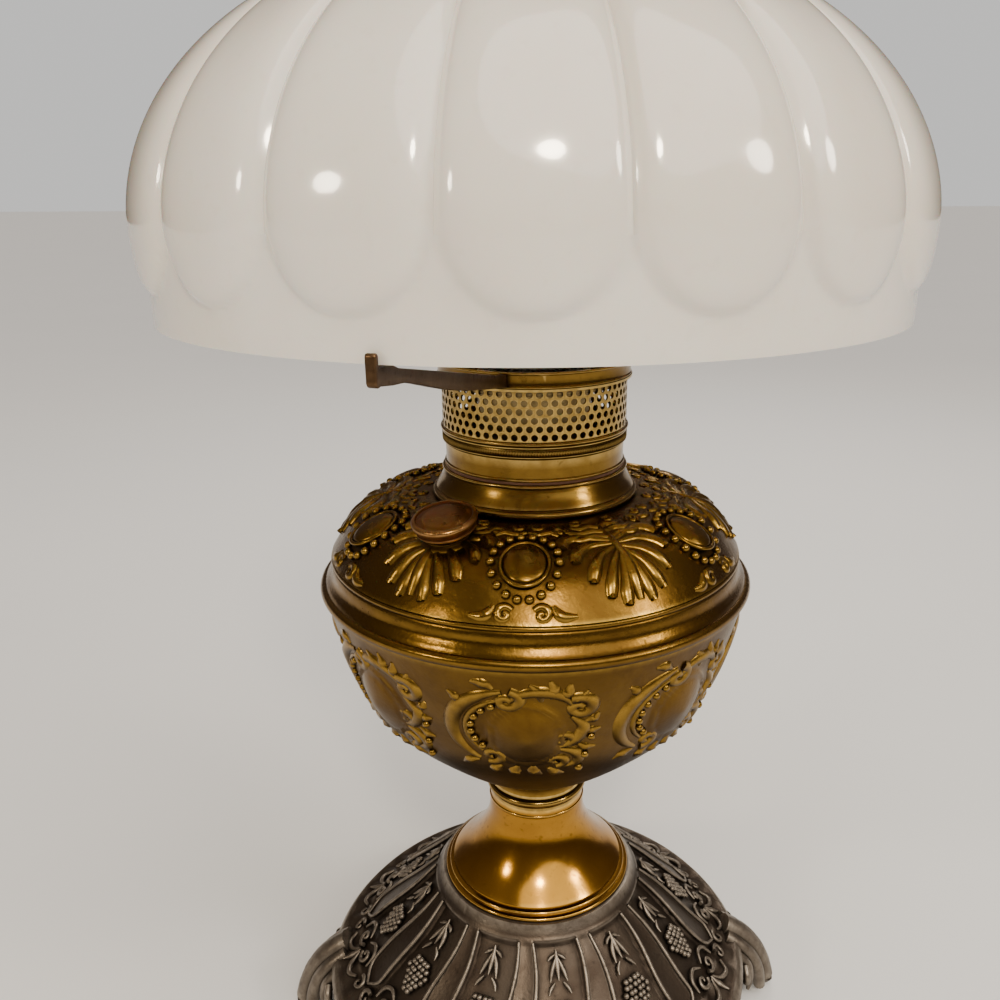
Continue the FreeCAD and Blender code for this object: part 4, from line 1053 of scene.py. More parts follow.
# ---------------------------------------------------------------- font
@dataclass
class Font:
    """Embossed oil font: bowl, belt, dome and threaded collar."""

    wall: float = 1.0
    sectors: int = 6
    azimuth: float = -3.0
    segments: int = 360
    pearls: int = 18
    medallion_along: float = 20.5
    draught_hole: float = 16.55
    collar_bore: float = 28.8
    cartouches: int = 8
    cartouche_drop: float = 26.5
    cartouche_wide: float = 1.28
    cartouche_tall: float = 1.06
    cartouche_bold: float = 2.15
    boss_wide: float = 11.5
    boss_tall: float = 13.5
    boss_height: float = 3.2

    def __post_init__(self) -> None:
        """Read the levels from the frame and lay out both skins."""
        self.bowl_bottom, self.bowl_top, self.bowl_radius = node_span("font_bowl")
        self.belt_bottom, self.belt_top, self.belt_radius = node_span("font_belt")
        self.dome_bottom, self.dome_top, self.dome_radius = node_span("font_dome")
        self.collar_bottom, self.collar_top, self.collar_foot = node_span("font_collar")
        self.neck = node_span("neck_collar")[2] - 1.3
        bowl_form = [(0.0, 0.0), (0.2, 0.05), (0.52, 0.25), (0.76, 0.445), (0.87, 0.65), (0.95, 0.85), (1.0, 1.0)]
        self.flare = self.bowl_bottom + 8.0
        self.bowl = TurnedSkin(flow(scaled_form(bowl_form, (self.neck, self.flare),
                                                (self.bowl_radius, self.bowl_top)), 90))
        dome_form = [(0.0, 0.0), (0.08, 0.22), (0.235, 0.59), (0.38, 0.78), (0.67, 0.94), (1.0, 1.0)]
        self.dome = TurnedSkin(flow(scaled_form(dome_form, (self.dome_radius, self.dome_bottom),
                                                (self.collar_foot + 0.8, self.dome_top)), 60))

    def azimuths(self, count: int) -> list[float]:
        """Azimuths of the middles of a number of equal sectors."""
        return [self.azimuth + 360.0 * k / count for k in range(count)]

    def cabochon(self, across: float, along: float, height: float) -> bpy.types.Object:
        """A domed oval boss with a thin ring round it, at the origin.

        Args:
            across: Half of its width in millimetres.
            along: Half of its length.
            height: Height of its middle.

        Returns:
            The boss.
        """
        top = flow([(0.001, height), (0.55 * across, 0.80 * height), (0.86 * across, 0.25 * height),
                    (0.9 * across, -0.2)], 12)
        rim = arc((across - 0.15, 0.1), 0.65, 180, -30, 9)
        boss = Bench.turn("boss", [*top, *rim, (across + 0.2, -0.9)], 40, closed=False, angle=60.0)
        Bench.pick(boss)
        bpy.ops.object.mode_set(mode="EDIT")
        bpy.ops.mesh.select_all(action="SELECT")
        bpy.ops.transform.resize(value=(1.0, along / across, 1.0))
        bpy.ops.object.mode_set(mode="OBJECT")
        return boss

    def pearl_places(self, skin: TurnedSkin, azimuth: float, spots: Sequence[Point2], lift: float) -> list[Matrix]:
        """Places of pearls at (across, along) spots round an azimuth."""
        places = []
        for across, along in spots:
            at = skin.axes(skin.offset_azimuth(azimuth, across, along),
                           along) @ Matrix.Translation(Vector((0, 0, lift)))
            at.translation *= MM
            places.append(at)
        return places

    def dome_chasing(self) -> Chasing:
        """Palmettes between the medallions, scrolls over and under them."""
        chasing = Chasing(self.dome)
        middle = self.medallion_along
        for azimuth in self.azimuths(self.sectors):
            for mirror in (False, True):
                over = [(0.6, middle + 17.2), (3.6, middle + 15.7), (7.4, middle + 17.0), (10.8, middle + 14.2)]
                chasing.stroke(azimuth, over, [1.0, 1.5, 1.6, 0.9], 0.35, mirror)
                chasing.stroke(azimuth, spiral((3.6, middle + 21.0), 1.9, 120, 1.1), [0.9, 1.1, 1.0, 0.9], 0.32, mirror)
                chasing.stroke(azimuth, spiral((6.0, middle - 17.0), 2.9, 150, -1.2), [1.3, 1.8, 1.5, 1.2], 0.42,
                               mirror)
                under = [(9.2, middle - 14.2), (12.2, middle - 17.8), (17.4, middle - 18.0)]
                chasing.stroke(azimuth, under, [0.9, 2.4, 2.1, 0.8], 0.45, mirror)
            self.palmette(chasing, azimuth + 180.0 / self.sectors, middle)
        return chasing

    def palmette(self, chasing: Chasing, azimuth: float, middle: float) -> None:
        """A fountain between two medallions: plump fronds that spring from a stem and droop at their ends.

        Args:
            chasing: Where the strokes go.
            azimuth: Azimuth of the root.
            middle: Distance of the medallions' middles along the dome.
        """
        root = middle + 8.5
        ends = ((18.6, 6.5), (17.4, -0.5), (14.4, -7.8), (9.9, -13.2), (4.6, -16.2))
        for mirror in (False, True):
            for order, (across, along) in enumerate(ends):
                start = (0.7, root - 1.6 * order)
                crest = (0.52 * across,
                         max(0.5 * (start[1] + middle + along) + 4.6 - 0.7 * order, middle + along + 3.0))
                path = [start, crest, (0.86 * across, middle + along + 4.2), (across, middle + along)]
                chasing.stroke(azimuth, path, [0.9, 1.5, 1.9, 2.5, 3.1, 2.4], 0.5, mirror)
                bead = [(across - 0.3, middle + along + 0.9), (across + 0.1, middle + along - 0.5)]
                chasing.stroke(azimuth, bead, [1.0, 1.2], -0.45, mirror)
            for height, width, rise in ((3.6, 14.8, 1.6), (7.2, 12.6, 2.6), (10.6, 9.4, 2.2)):
                sway = [(0.3, root + height - 2.0), (0.34 * width, root + height - 0.2),
                        (0.7 * width, root + height - 1.4), (width, root + height + rise - 1.6)]
                chasing.stroke(azimuth, sway, [1.3, 2.0, 1.9, 0.8], 0.45, mirror)
            chasing.stroke(azimuth, spiral((14.6, middle + 17.2), 2.7, 200, -1.2), [1.1, 1.2, 1.1, 1.0], 0.32, mirror)
            chasing.stroke(azimuth, spiral((6.2, root + 13.4), 2.1, 160, -1.1), [0.9, 1.1, 1.0, 0.9], 0.32, mirror)
        stem = [(0, root + 10.0), (0, root), (0, root - 10.0), (0, root - 18.0), (0, root - 24.0)]
        chasing.stroke(azimuth, stem, [0.8, 1.6, 1.7, 2.0, 2.9, 1.6], 0.42)

    def cartouche(self, chasing: Chasing, azimuth: float, middle: float) -> None:
        """A lopsided scrolled frame: a large C on one side, shells and volutes on the other.

        Args:
            chasing: Where the strokes go.
            azimuth: Azimuth of its middle.
            middle: Distance of its middle along the bowl.
        """
        def put(path: Sequence[Point2], widths: Sequence[float], sink: float = 0.56) -> None:
            """Lay a stroke given from the cartouche's middle."""
            spread = [(self.cartouche_wide * x, middle + self.cartouche_tall * y) for x, y in path]
            chasing.stroke(azimuth, spread, [self.cartouche_bold * w for w in widths], sink)

        put(arc((-2.5, 0.5), 17.0, 100, 236, 12), [0.6, 1.5, 1.8, 1.7, 1.3, 0.6])
        put(arc((-1.5, 0.5), 14.0, 112, 226, 10), [0.4, 0.8, 0.8, 0.8, 0.4])
        put(spiral((-4.2, 13.6), 4.0, 80, -1.15), [1.2, 1.3, 1.1, 0.9])
        put(spiral((-8.6, -11.6), 3.4, 250, 1.15), [1.1, 1.2, 1.0, 0.8])
        put(arc((4.0, 8.5), 9.0, 150, 20, 8), [0.5, 1.2, 1.6, 1.3, 0.6])
        put(spiral((14.2, 10.6), 4.4, 120, -1.3), [1.3, 1.5, 1.2, 0.9])
        put([(12.0, 7.0), (15.4, 1.5), (12.5, -4.5), (8.2, -7.0)], [0.5, 1.5, 1.5, 0.6])
        put(spiral((9.6, -3.4), 3.2, 300, 1.2), [1.0, 1.1, 0.9, 0.8])
        put([(8.0, -7.4), (13.4, -10.0), (13.6, -15.0), (9.4, -17.2)], [0.5, 1.4, 1.3, 0.6])
        put(spiral((8.0, -13.6), 3.0, 270, 1.2), [1.0, 1.1, 0.9, 0.8])
        for start, end, half in [((4.5, 13.5), (1.5, 20.5), 1.2), ((6.5, 14.5), (6.8, 22.0), 1.3),
                                 ((8.6, 14.0), (12.0, 20.5), 1.3),
                                 ((10.4, 12.8), (16.5, 17.5), 1.2), ((15.5, 4.0), (19.5, 7.5), 1.1),
                                 ((15.0, 0.5), (20.0, 0.5), 1.1),
                                 ((13.6, -6.0), (18.6, -8.2), 1.1), ((-7.5, 18.0), (-13.5, 20.5), 1.2),
                                 ((-17.0, 10.0), (-20.0, 15.5), 1.1),
                                 ((-12.0, -14.5), (-17.0, -18.5), 1.2), ((-6.0, -16.5), (-8.5, -22.5), 1.3),
                                 ((-2.0, -16.5), (-2.0, -23.5), 1.4),
                                 ((2.0, -16.0), (4.0, -23.0), 1.3), ((6.0, -17.5), (10.0, -22.5), 1.2)]:
            bend = ((start[0] + end[0]) / 2 + 0.14 * (end[1] - start[1]),
                    (start[1] + end[1]) / 2 - 0.14 * (end[0] - start[0]))
            put([start, bend, end], [0.45, half, half, 0.35])

    def bosses(self, azimuth: np.ndarray, level: np.ndarray) -> np.ndarray:
        """Smooth oval swellings in the middles of the cartouches, as shares of their height."""
        along = np.interp(level, self.bowl.line[:, 1], self.bowl.run)
        radius = np.interp(level, self.bowl.line[:, 1], self.bowl.line[:, 0])
        pitch = TURN / self.cartouches
        offset = np.mod(azimuth - math.radians(self.azimuth) + pitch / 2, pitch) - pitch / 2
        middle = self.bowl.length - self.cartouche_drop
        out = np.hypot((offset * radius - 0.5) / self.boss_wide, (along - middle + 1.5) / self.boss_tall)
        swell = np.clip(1.0 - out, 0.0, 1.0)
        rim = np.exp(-((out - 1.05) / 0.07) ** 2)
        return np.maximum(swell ** 0.55, 0.3 * rim)

    def bowl_piece(self) -> Piece:
        """The bowl with its cartouches."""
        floor = self.bowl_bottom + 1.2
        tube = self.draught_hole
        line = [tuple(p) for p in self.bowl.line]
        outline = [(tube, self.bowl_bottom), (self.neck, self.bowl_bottom), (self.neck, self.bowl_bottom + 2.2),
                   *arc((self.neck, self.bowl_bottom + 3.2), 0.5, -80, 80, 5), (self.neck, self.bowl_bottom + 4.2),
                   *line,
                   *inset(line, self.wall)[1:-6:5], (self.neck - self.wall, self.flare - 1.0),
                   (self.neck - self.wall, floor), (tube, floor)]
        shell = Bench.turn("font_bowl_shell", outline, self.segments)
        Bench.emboss(shell, self.boss_height, self.bosses,
                     lambda r, z: (z > self.flare) & (np.interp(z, self.bowl.line[:, 1],
                                                                self.bowl.line[:, 0]) < r + 0.3))
        chasing = Chasing(self.bowl)
        middle = self.bowl.length - self.cartouche_drop
        pearls: list[Matrix] = []
        for azimuth in self.azimuths(self.cartouches):
            self.cartouche(chasing, azimuth, middle)
            row = [(self.cartouche_wide * x, middle + self.cartouche_tall * y) for x,
                   y in arc((-2.5, 1.0), 11.6, 120, 222, 7)]
            pearls += self.pearl_places(self.bowl, azimuth, row, 0.2)
            side = [(22.0, middle - 2.8), (19.8, middle - 11.6), (17.8, middle - 19.0)]
            pearls += self.pearl_places(self.bowl, azimuth, side, 0.3)
        beads = Bench.copies(Bench.pearl(1.5), pearls)
        piece = Bench.join("font_bowl_embossed", [shell, chasing.build("bowl_chasing"), *beads])
        return Piece(piece, "base", Finish.ANTIQUE_BRASS, ("font_bowl",))

    def dome_piece(self) -> Piece:
        """The dome with its medallions and the palmettes between them."""
        line = [tuple(p) for p in self.dome.line]
        bore = self.collar_bore
        outline = [*line, (bore, self.dome_top), (bore, self.dome_top - self.wall), *inset(line, self.wall)[1:-1:5]]
        shell = Bench.turn("font_dome_shell", outline, self.segments)
        middle = self.medallion_along
        ring = [(11.0 * math.cos(a), middle + 12.4 * math.sin(a)) for a in np.linspace(0.0, TURN, self.pearls,
                endpoint=False)]
        pearls: list[Matrix] = []
        for azimuth in self.azimuths(self.sectors):
            pearls += self.pearl_places(self.dome, azimuth, ring, 0.5)
        places = [p for azimuth in self.azimuths(self.sectors) for p in self.pearl_places(self.dome, azimuth,
                [(0.0, middle)], -0.1)]
        medallions = Bench.copies(self.cabochon(8.0, 9.2, 2.2), places)
        beads = Bench.copies(Bench.pearl(1.62), pearls)
        piece = Bench.join("font_dome_embossed",
                           [shell, self.dome_chasing().build("dome_chasing"), *medallions, *beads])
        return Piece(piece, "base", Finish.ANTIQUE_BRASS, ("font_dome",))

    def belt_piece(self) -> Piece:
        """The belt: a full bead, a hollow band and a thin bead."""
        low, high, full = self.belt_bottom, self.belt_top, self.belt_radius
        height = high - low
        bowl, top = self.bowl_radius, self.dome_radius
        bead = arc((full - 2.1, low + 2.3), 2.1, -95, 88, 16)
        hollow = flow([(bowl - 1.0, low + 6.0), (bowl - 2.3, low + 0.56 * height), (top + 0.4, low + 0.72 * height),
                       (top - 0.1, low + 0.83 * height)], 10)
        lip = arc((top - 0.7, high - 1.3), 1.05, -70, 100, 10)
        outline = [(bowl - 3.0, low), (bowl - 0.9, low), *bead, (bowl - 0.6, low + 5.5), *hollow, *lip,
                   (top - 2.4, high), (top - 3.2, low + 0.5 * height)]
        piece = Bench.turn("font_belt_rolled", outline, 240)
        return Piece(piece, "base", Finish.ANTIQUE_BRASS, ("font_belt",))

    def collar_piece(self) -> Piece:
        """The stepped collar that the burner screws into."""
        low, high, foot = self.collar_bottom, self.collar_top, self.collar_foot
        bore = self.collar_bore
        band = flow([(foot - 1.3, low + 3.6), (foot - 3.0, low + 6.4), (foot - 4.4, low + 9.2),
                     (foot - 4.7, high - 1.9)], 12)
        outline = [(bore, low), (foot - 1.0, low), *arc((foot - 1.45, low + 1.45), 1.45, -75, 78, 12),
                   (foot - 1.5, low + 3.2),
                   *band, (foot - 4.9, high - 1.5), *arc((foot - 4.45, high - 0.75), 0.62, -80, 80, 7),
                   (foot - 5.0, high),
                   (bore, high)]
        piece = Bench.turn("font_collar_turned", outline, 200)
        return Piece(piece, "base", Finish.BURNER_BRASS, ("font_collar",))

    def build(self) -> list[Piece]:
        """Make the four parts of the font."""
        return [self.bowl_piece(), self.belt_piece(), self.dome_piece(), self.collar_piece()]


# ---------------------------------------------------------------- filler
@dataclass
class Filler:
    """Threaded filler tube on the font and its screw cap, on a tilted axis."""

    tube_radius: float = 8.2
    bore: float = 6.5
    rise: float = 6.0
    cap_radius: float = 11.3
    cap_height: float = 5.6
    gasket: float = 1.0
    segments: int = 96

    def __post_init__(self) -> None:
        """Take the axis from the cap's joint."""
        joint = next(j for j in frame["joints"] if j["name"] == "cap_unscrew")
        axis = Vector(joint["axis"]).normalized()
        self.matrix = Matrix.Translation(Vector(joint["pos_m"])) @ Vector((0, 0,
                1)).rotation_difference(axis).to_matrix().to_4x4()

    def on_axis(self, piece: bpy.types.Object) -> bpy.types.Object:
        """Move a piece, made on the lamp's axis, to the filler's axis."""
        piece.data.transform(self.matrix)
        return piece

    def build(self) -> list[Piece]:
        """Make the neck and the cap.

        Returns:
            The two pieces.
        """
        tube, rise = self.tube_radius, self.rise
        thread = []
        for turn in range(3):
            level = 0.9 + 1.25 * turn
            thread += [(tube - 0.45, level - 0.3), (tube, level + 0.1), (tube, level + 0.4), (tube - 0.45, level + 0.8)]
        curb = tube + 1.3
        neck = [(self.bore, -4.0), (tube, -4.0), (tube, -2.6), (curb - 0.4, -2.6), (curb, -1.9), (curb, -0.7),
                (curb - 0.5, -0.2), (tube + 0.1, 0.1), *thread, (tube - 0.6, rise), (self.bore, rise)]
        collar = self.on_axis(Bench.turn("filler_neck_threaded", neck, self.segments))
        under = rise + self.gasket
        top = under + 0.9
        skirt = top - self.cap_height + 0.9
        inner = tube + 0.3
        cap = self.cap_radius
        outline = [(0.0, under), (tube + 1.1, under), (tube + 1.1, rise - 0.6), (inner, rise - 0.9), (inner, skirt),
                   (cap - 1.3, skirt), (cap - 1.1, skirt + 0.5), (cap - 1.6, skirt + 0.9), (cap - 1.0, skirt + 1.4),
                   *arc((cap - 1.25, top - 1.15), 1.2, -60, 100, 12), (cap - 1.9, top - 0.35), (cap - 2.5, top - 0.3),
                   *flow([(cap - 3.0, top - 0.1), (0.6 * cap, top + 0.35), (0.3 * cap, top + 0.65),
                          (0.0, top + 0.75)], 10)]
        lid = self.on_axis(Bench.turn("filler_cap_domed", outline, self.segments, closed=False))
        return [Piece(collar, "base", Finish.ANTIQUE_BRASS, ("filler_neck",)),
                Piece(lid, "filler_cap", Finish.COPPER_CAP, ("filler_cap",))]


# ---------------------------------------------------------------- burner and gallery
@dataclass
class Burner:
    """Burner band, milled grip ring, perforated gallery and flame spreader."""

    hole_rows: int = 6
    holes_round: int = 62
    hole_radius: float = 1.2
    row_pitch: float = 2.95
    serrations: int = 220
    rack_room: float = 0.6
    spigot_radius: float = 28.5
    spigot_bore: float = 27.1
    band_height: float = 8.4

    def band(self) -> Piece:
        """The burner's body: an outer band over a spigot, with its floor."""
        low, high, lip = node_span("burner_base")
        radius = lip - 0.4
        seat = high - self.band_height
        tube = node_span("outer_wick_tube")[2] + 0.05
        spigot, bore = self.spigot_radius, self.spigot_bore
        outline = [(tube, low), (spigot, low), (spigot, seat), (lip - 0.2, seat), (lip, seat + 0.3), (lip, seat + 0.8),
                   (radius - 0.1, seat + 1.3), (radius - 0.15, seat + 4.0), (radius, high - 0.5), (radius - 0.4, high),
                   (radius - 1.6, high), (radius - 1.6, seat + 1.2), (bore, seat + 1.2), (bore, low + 1.3),
                   (tube, low + 1.3)]
        piece = Bench.turn("burner_band", outline, 180)
        self.rack_slot(piece)
        return Piece(piece, "burner", Finish.BURNER_BRASS, ("burner_base",))

    def rack_slot(self, piece: bpy.types.Object) -> None:
        """Cut the slot in the burner's floor that the wick's rack runs through."""
        low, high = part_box("wick_rack")
        floor = node_span("burner_base")[0] * MM
        room = self.rack_room * MM
        middle = [(low[0] + high[0]) / 2, (low[1] + high[1]) / 2, floor + MM]
        Bench.deselect()
        bpy.ops.mesh.primitive_cube_add(size=1.0, location=middle)
        cutter = bpy.context.active_object
        bpy.ops.object.mode_set(mode="EDIT")
        bpy.ops.mesh.select_all(action="SELECT")
        bpy.ops.transform.resize(value=(high[0] - low[0] + room, high[1] - low[1] + room, 4.0 * MM))
        bpy.ops.object.mode_set(mode="OBJECT")
        Bench.apply(piece, "BOOLEAN", object=cutter, operation="DIFFERENCE", solver="EXACT")
        bpy.data.objects.remove(cutter)
        Bench.smooth(piece)

    def grip_ring(self) -> Piece:
        """The milled ring, with a fine upright serration between two plain edges."""
        low, high, radius = node_span("gallery_grip_ring")
        bore = radius - 3.3
        depth = 0.6
        outline = [(bore, low), (radius - 0.5, low), (radius - 0.1, low + 0.4), (radius - 0.1, low + 0.6),
                   (radius - depth, low + 0.8), (radius - depth, low + 1.0), (radius - depth, high - 1.0),
                   (radius - depth, high - 0.8), (radius - 0.1, high - 0.6), (radius - 0.1, high - 0.3),
                   (radius - 0.5, high), (bore, high)]
        piece = Bench.turn("gallery_grip_milled", outline, 2 * self.serrations, angle=20.0)

        def teeth(azimuth: np.ndarray, level: np.ndarray) -> np.ndarray:
            """Every second line of vertices stands proud."""
            return (np.round(azimuth * self.serrations / math.pi) % 2).astype(float)

        Bench.emboss(piece, depth - 0.02, teeth, lambda r,
                     z: (r > radius - depth - 0.1) & (z > low + 0.9) & (z < high - 0.9))
        return Piece(piece, "gallery", Finish.BURNER_BRASS, ("gallery_grip_ring",))

    def perforated(self, name: str, radius: float, bottom: float, rows: int, round_count: int, hole: float,
                   pitch: float, wall: float) -> bpy.types.Object:
        """A thin cylinder pierced by staggered rows of round holes.

        Args:
            name: Name of the object.
            radius: Outer radius in millimetres.
            bottom: Level of its lower edge.
            rows: Rows of holes.
            round_count: Holes in each row.
            hole: Radius of a hole.
            pitch: Height of one row.
            wall: Thickness.

        Returns:
            The pierced wall.
        """
        width = TURN * radius / round_count
        Bench.deselect()
        bpy.ops.mesh.primitive_circle_add(vertices=16, radius=hole * MM, fill_type="NOTHING")
        tile = bpy.context.active_object
        bpy.ops.object.mode_set(mode="EDIT")
        bpy.ops.mesh.select_all(action="SELECT")
        bpy.ops.mesh.extrude_edges_move(TRANSFORM_OT_translate={"value": (0, 0, 0)})
        bpy.ops.object.mode_set(mode="OBJECT")
        moved = [v for v in tile.data.vertices if v.select]
        for vertex in moved:
            x, y = vertex.co.x, vertex.co.y
            size = max(abs(x), abs(y))
            vertex.co.x = x / size * 0.5
            vertex.co.y = y / size * 0.5
        for vertex in moved:
            vertex.co.x = round(vertex.co.x * 4) / 4 * width * MM
            vertex.co.y = round(vertex.co.y * 4) / 4 * pitch * MM
        tiles = []
        for row in range(rows):
            for column in range(round_count):
                across = (column + 0.5 * (row % 2)) * width
                tiles.append(Matrix.Translation(Vector((across, (row + 0.5) * pitch, 0.0)) * MM))
        sheet = Bench.join(name, Bench.copies(tile, tiles))
        places = np.empty(len(sheet.data.vertices) * 3)
        sheet.data.vertices.foreach_get("co", places)
        flat = places.reshape(-1, 3)
        angle = flat[:, 0] / (radius * MM)
        rolled = np.stack([radius * MM * np.sin(angle), -radius * MM * np.cos(angle), flat[:, 1] + bottom * MM], axis=1)
        sheet.data.vertices.foreach_set("co", rolled.ravel())
        sheet.data.update()
        Bench.pick(sheet)
        bpy.ops.object.mode_set(mode="EDIT")
        bpy.ops.mesh.select_all(action="SELECT")
        bpy.ops.mesh.remove_doubles(threshold=2e-5)
        bpy.ops.mesh.normals_make_consistent(inside=False)
        bpy.ops.object.mode_set(mode="OBJECT")
        outward = sheet.data.polygons[0]
        if outward.normal.dot(outward.center * Vector((1, 1, 0))) < 0:
            sheet.data.flip_normals()
        Bench.apply(sheet, "SOLIDIFY", thickness=wall * MM, offset=-1.0, use_even_offset=True)
        Bench.smooth(sheet, 40.0)
        return sheet

    def basket(self) -> Piece:
        """The gallery: a bead, the pierced wall, and a flange with a plain neck over it."""
        low, high, flange = node_span("gallery_basket")
        radius = flange - 1.7
        wall = 0.7
        holder_low = node_span("holder_ring")[0]
        start = low + 1.7
        pierced_top = start + self.hole_rows * self.row_pitch
        foot = Bench.turn("gallery_foot",
                          [(radius - wall, low), (radius, low), *arc((radius, low + 0.8), 0.78, -85, 85, 9),
                                           (radius, start + 0.02), (radius - wall, start + 0.02)], 200)
        holes = self.perforated("gallery_wall", radius, start, self.hole_rows, self.holes_round, self.hole_radius,
                                self.row_pitch, wall)
        head = [(radius - wall, pierced_top), (radius, pierced_top), (radius, holder_low - 0.9),
                (flange, holder_low - 0.8),
                (flange, holder_low), (radius, holder_low), (radius, high), (radius - wall, high)]
        top = Bench.turn("gallery_head", head, 200)
        piece = Bench.join("gallery_pierced", [foot, holes, top])
        return Piece(piece, "gallery", Finish.BURNER_BRASS, ("gallery_basket",))

    def spreader(self) -> Piece:
        """Flame spreader: a pierced thimble under a domed disc."""
        low, high, disc = node_span("flame_spreader")
        radius = 15.65
        edge = high - 2.4
        stem_top = low + 12.0
        stem = Bench.turn("spreader_stem",
                          [(radius - 0.7, low), (radius, low), (radius, stem_top), (radius - 0.7, stem_top)], 96)
        rows = 4
        pitch = (edge - 0.6 - stem_top) / rows
        sieve = self.perforated("spreader_sieve", radius, stem_top, rows, 30, 0.8, pitch, 0.6)
        cap = Bench.turn("spreader_cap",
                         [(radius - 0.6, edge - 0.7), (radius + 0.4, edge - 0.7), (disc - 0.3, edge - 0.4),
                                          *arc((disc - 0.4, edge), 0.4, -90, 90, 6),
                                          *flow([(disc - 1.2, edge + 0.7), (disc / 2, edge + 2.0), (0.0, edge + 2.4)],
                                                9),
                                          (0.0, edge + 1.4), (radius - 0.7, edge - 0.2)], 96, closed=False)
        piece = Bench.join("flame_spreader_pierced", [stem, sieve, cap])
        return Piece(piece, "flame_spreader", Finish.PLAIN_BRASS, ("flame_spreader",))

    def build(self) -> list[Piece]:
        """Make the burner's visible parts."""
        return [self.band(), self.grip_ring(), self.basket(), self.spreader()]


# ---------------------------------------------------------------- shade holder
@dataclass
class ShadeHolder:
    """Ring over the gallery and three arms on edge, each with a tab for the shade's rim."""

    thickness: float = 2.8
    arms: tuple[tuple[str, float], ...] = (("shade_arm_front", -17.0), ("shade_arm_right", 103.0),
                                           ("shade_arm_left", -137.0))

    def ring(self) -> Piece:
        """The ring, with a rolled lower edge and a plain band."""
        low, high, radius = node_span("holder_ring")
        bore = radius - 1.2
        outline = [(bore, low), (radius - 0.3, low), *arc((radius - 0.45, low + 0.45), 0.45, -60, 60, 6),
                   (radius - 0.35, low + 1.1), (radius - 0.35, high - 1.1),
                   *arc((radius - 0.45, high - 0.45), 0.45, -60, 60, 6),
                   (radius - 0.3, high), (bore, high)]
        return Piece(Bench.turn("holder_ring_rolled", outline, 200), "shade_holder", Finish.BURNER_BRASS,
                     ("holder_ring",))

    def arm(self, node: str, azimuth: float) -> Piece:
        """One arm: a strip on edge that rises to a ledge and turns up into a tab.

        Args:
            node: The CAD node that the arm stands for.
            azimuth: Where it points.

        Returns:
            The arm.
        """
        start = node_span("holder_ring")[2] + 0.05
        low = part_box(node)[0][2] / MM
        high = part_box(node)[1][2] / MM
        rim = 127.0
        ledge = node_span("shade")[0]
        tab_in, tab_out = rim + 1.0, rim + 2.9
        depth = 4.6
        lower = flow([(start, low), (start + 42.0, low + 7.2), (rim - 14.0, ledge - depth - 1.4),
                      (rim - 4.0, ledge - depth - 0.9),
                      (rim + 0.5, ledge - depth + 0.3)], 14)
        knob = arc((rim + 1.35, ledge - 3.0), 1.55, -95, 15, 8)
        tab = arc((rim + 1.95, high - 0.95), 0.95, 0, 180, 8)
        upper = [(tab_in, ledge), (rim - 6.0, ledge), (rim - 10.0, ledge - 1.6), (start + 3.0, low + depth),
                 (start, low + depth)]
        points = [*lower, *knob, (tab_out, ledge - 1.0), *tab, *upper]
        Bench.deselect()
        bpy.ops.mesh.primitive_circle_add(vertices=len(points), radius=MM)
        piece = bpy.context.active_object
        for vertex, (r, z) in zip(piece.data.vertices, points):
            vertex.co = (r * MM, 0.0, z * MM)
        bpy.ops.object.mode_set(mode="EDIT")
        bpy.ops.mesh.select_all(action="SELECT")
        bpy.ops.mesh.edge_face_add()
        bpy.ops.transform.translate(value=(0.0, -0.5 * self.thickness * MM, 0.0))
        bpy.ops.mesh.extrude_region_move(TRANSFORM_OT_translate={"value": (0.0, self.thickness * MM, 0.0)})
        bpy.ops.mesh.select_all(action="SELECT")
        bpy.ops.mesh.normals_make_consistent(inside=False)
        bpy.ops.object.mode_set(mode="OBJECT")
        Bench.apply(piece, "BEVEL", width=0.35 * MM, segments=2, limit_method="ANGLE", angle_limit=math.radians(40))
        piece.data.transform(Matrix.Rotation(math.radians(azimuth - 90.0), 4, "Z"))
        piece.name = node + "_strip"
        Bench.smooth(piece, 35.0)
        return Piece(piece, "shade_holder", Finish.HOLDER_BRONZE, (node,))

    def build(self) -> list[Piece]:
        """Make the ring and the three arms."""
        return [self.ring(), *(self.arm(node, azimuth) for node, azimuth in self.arms)]


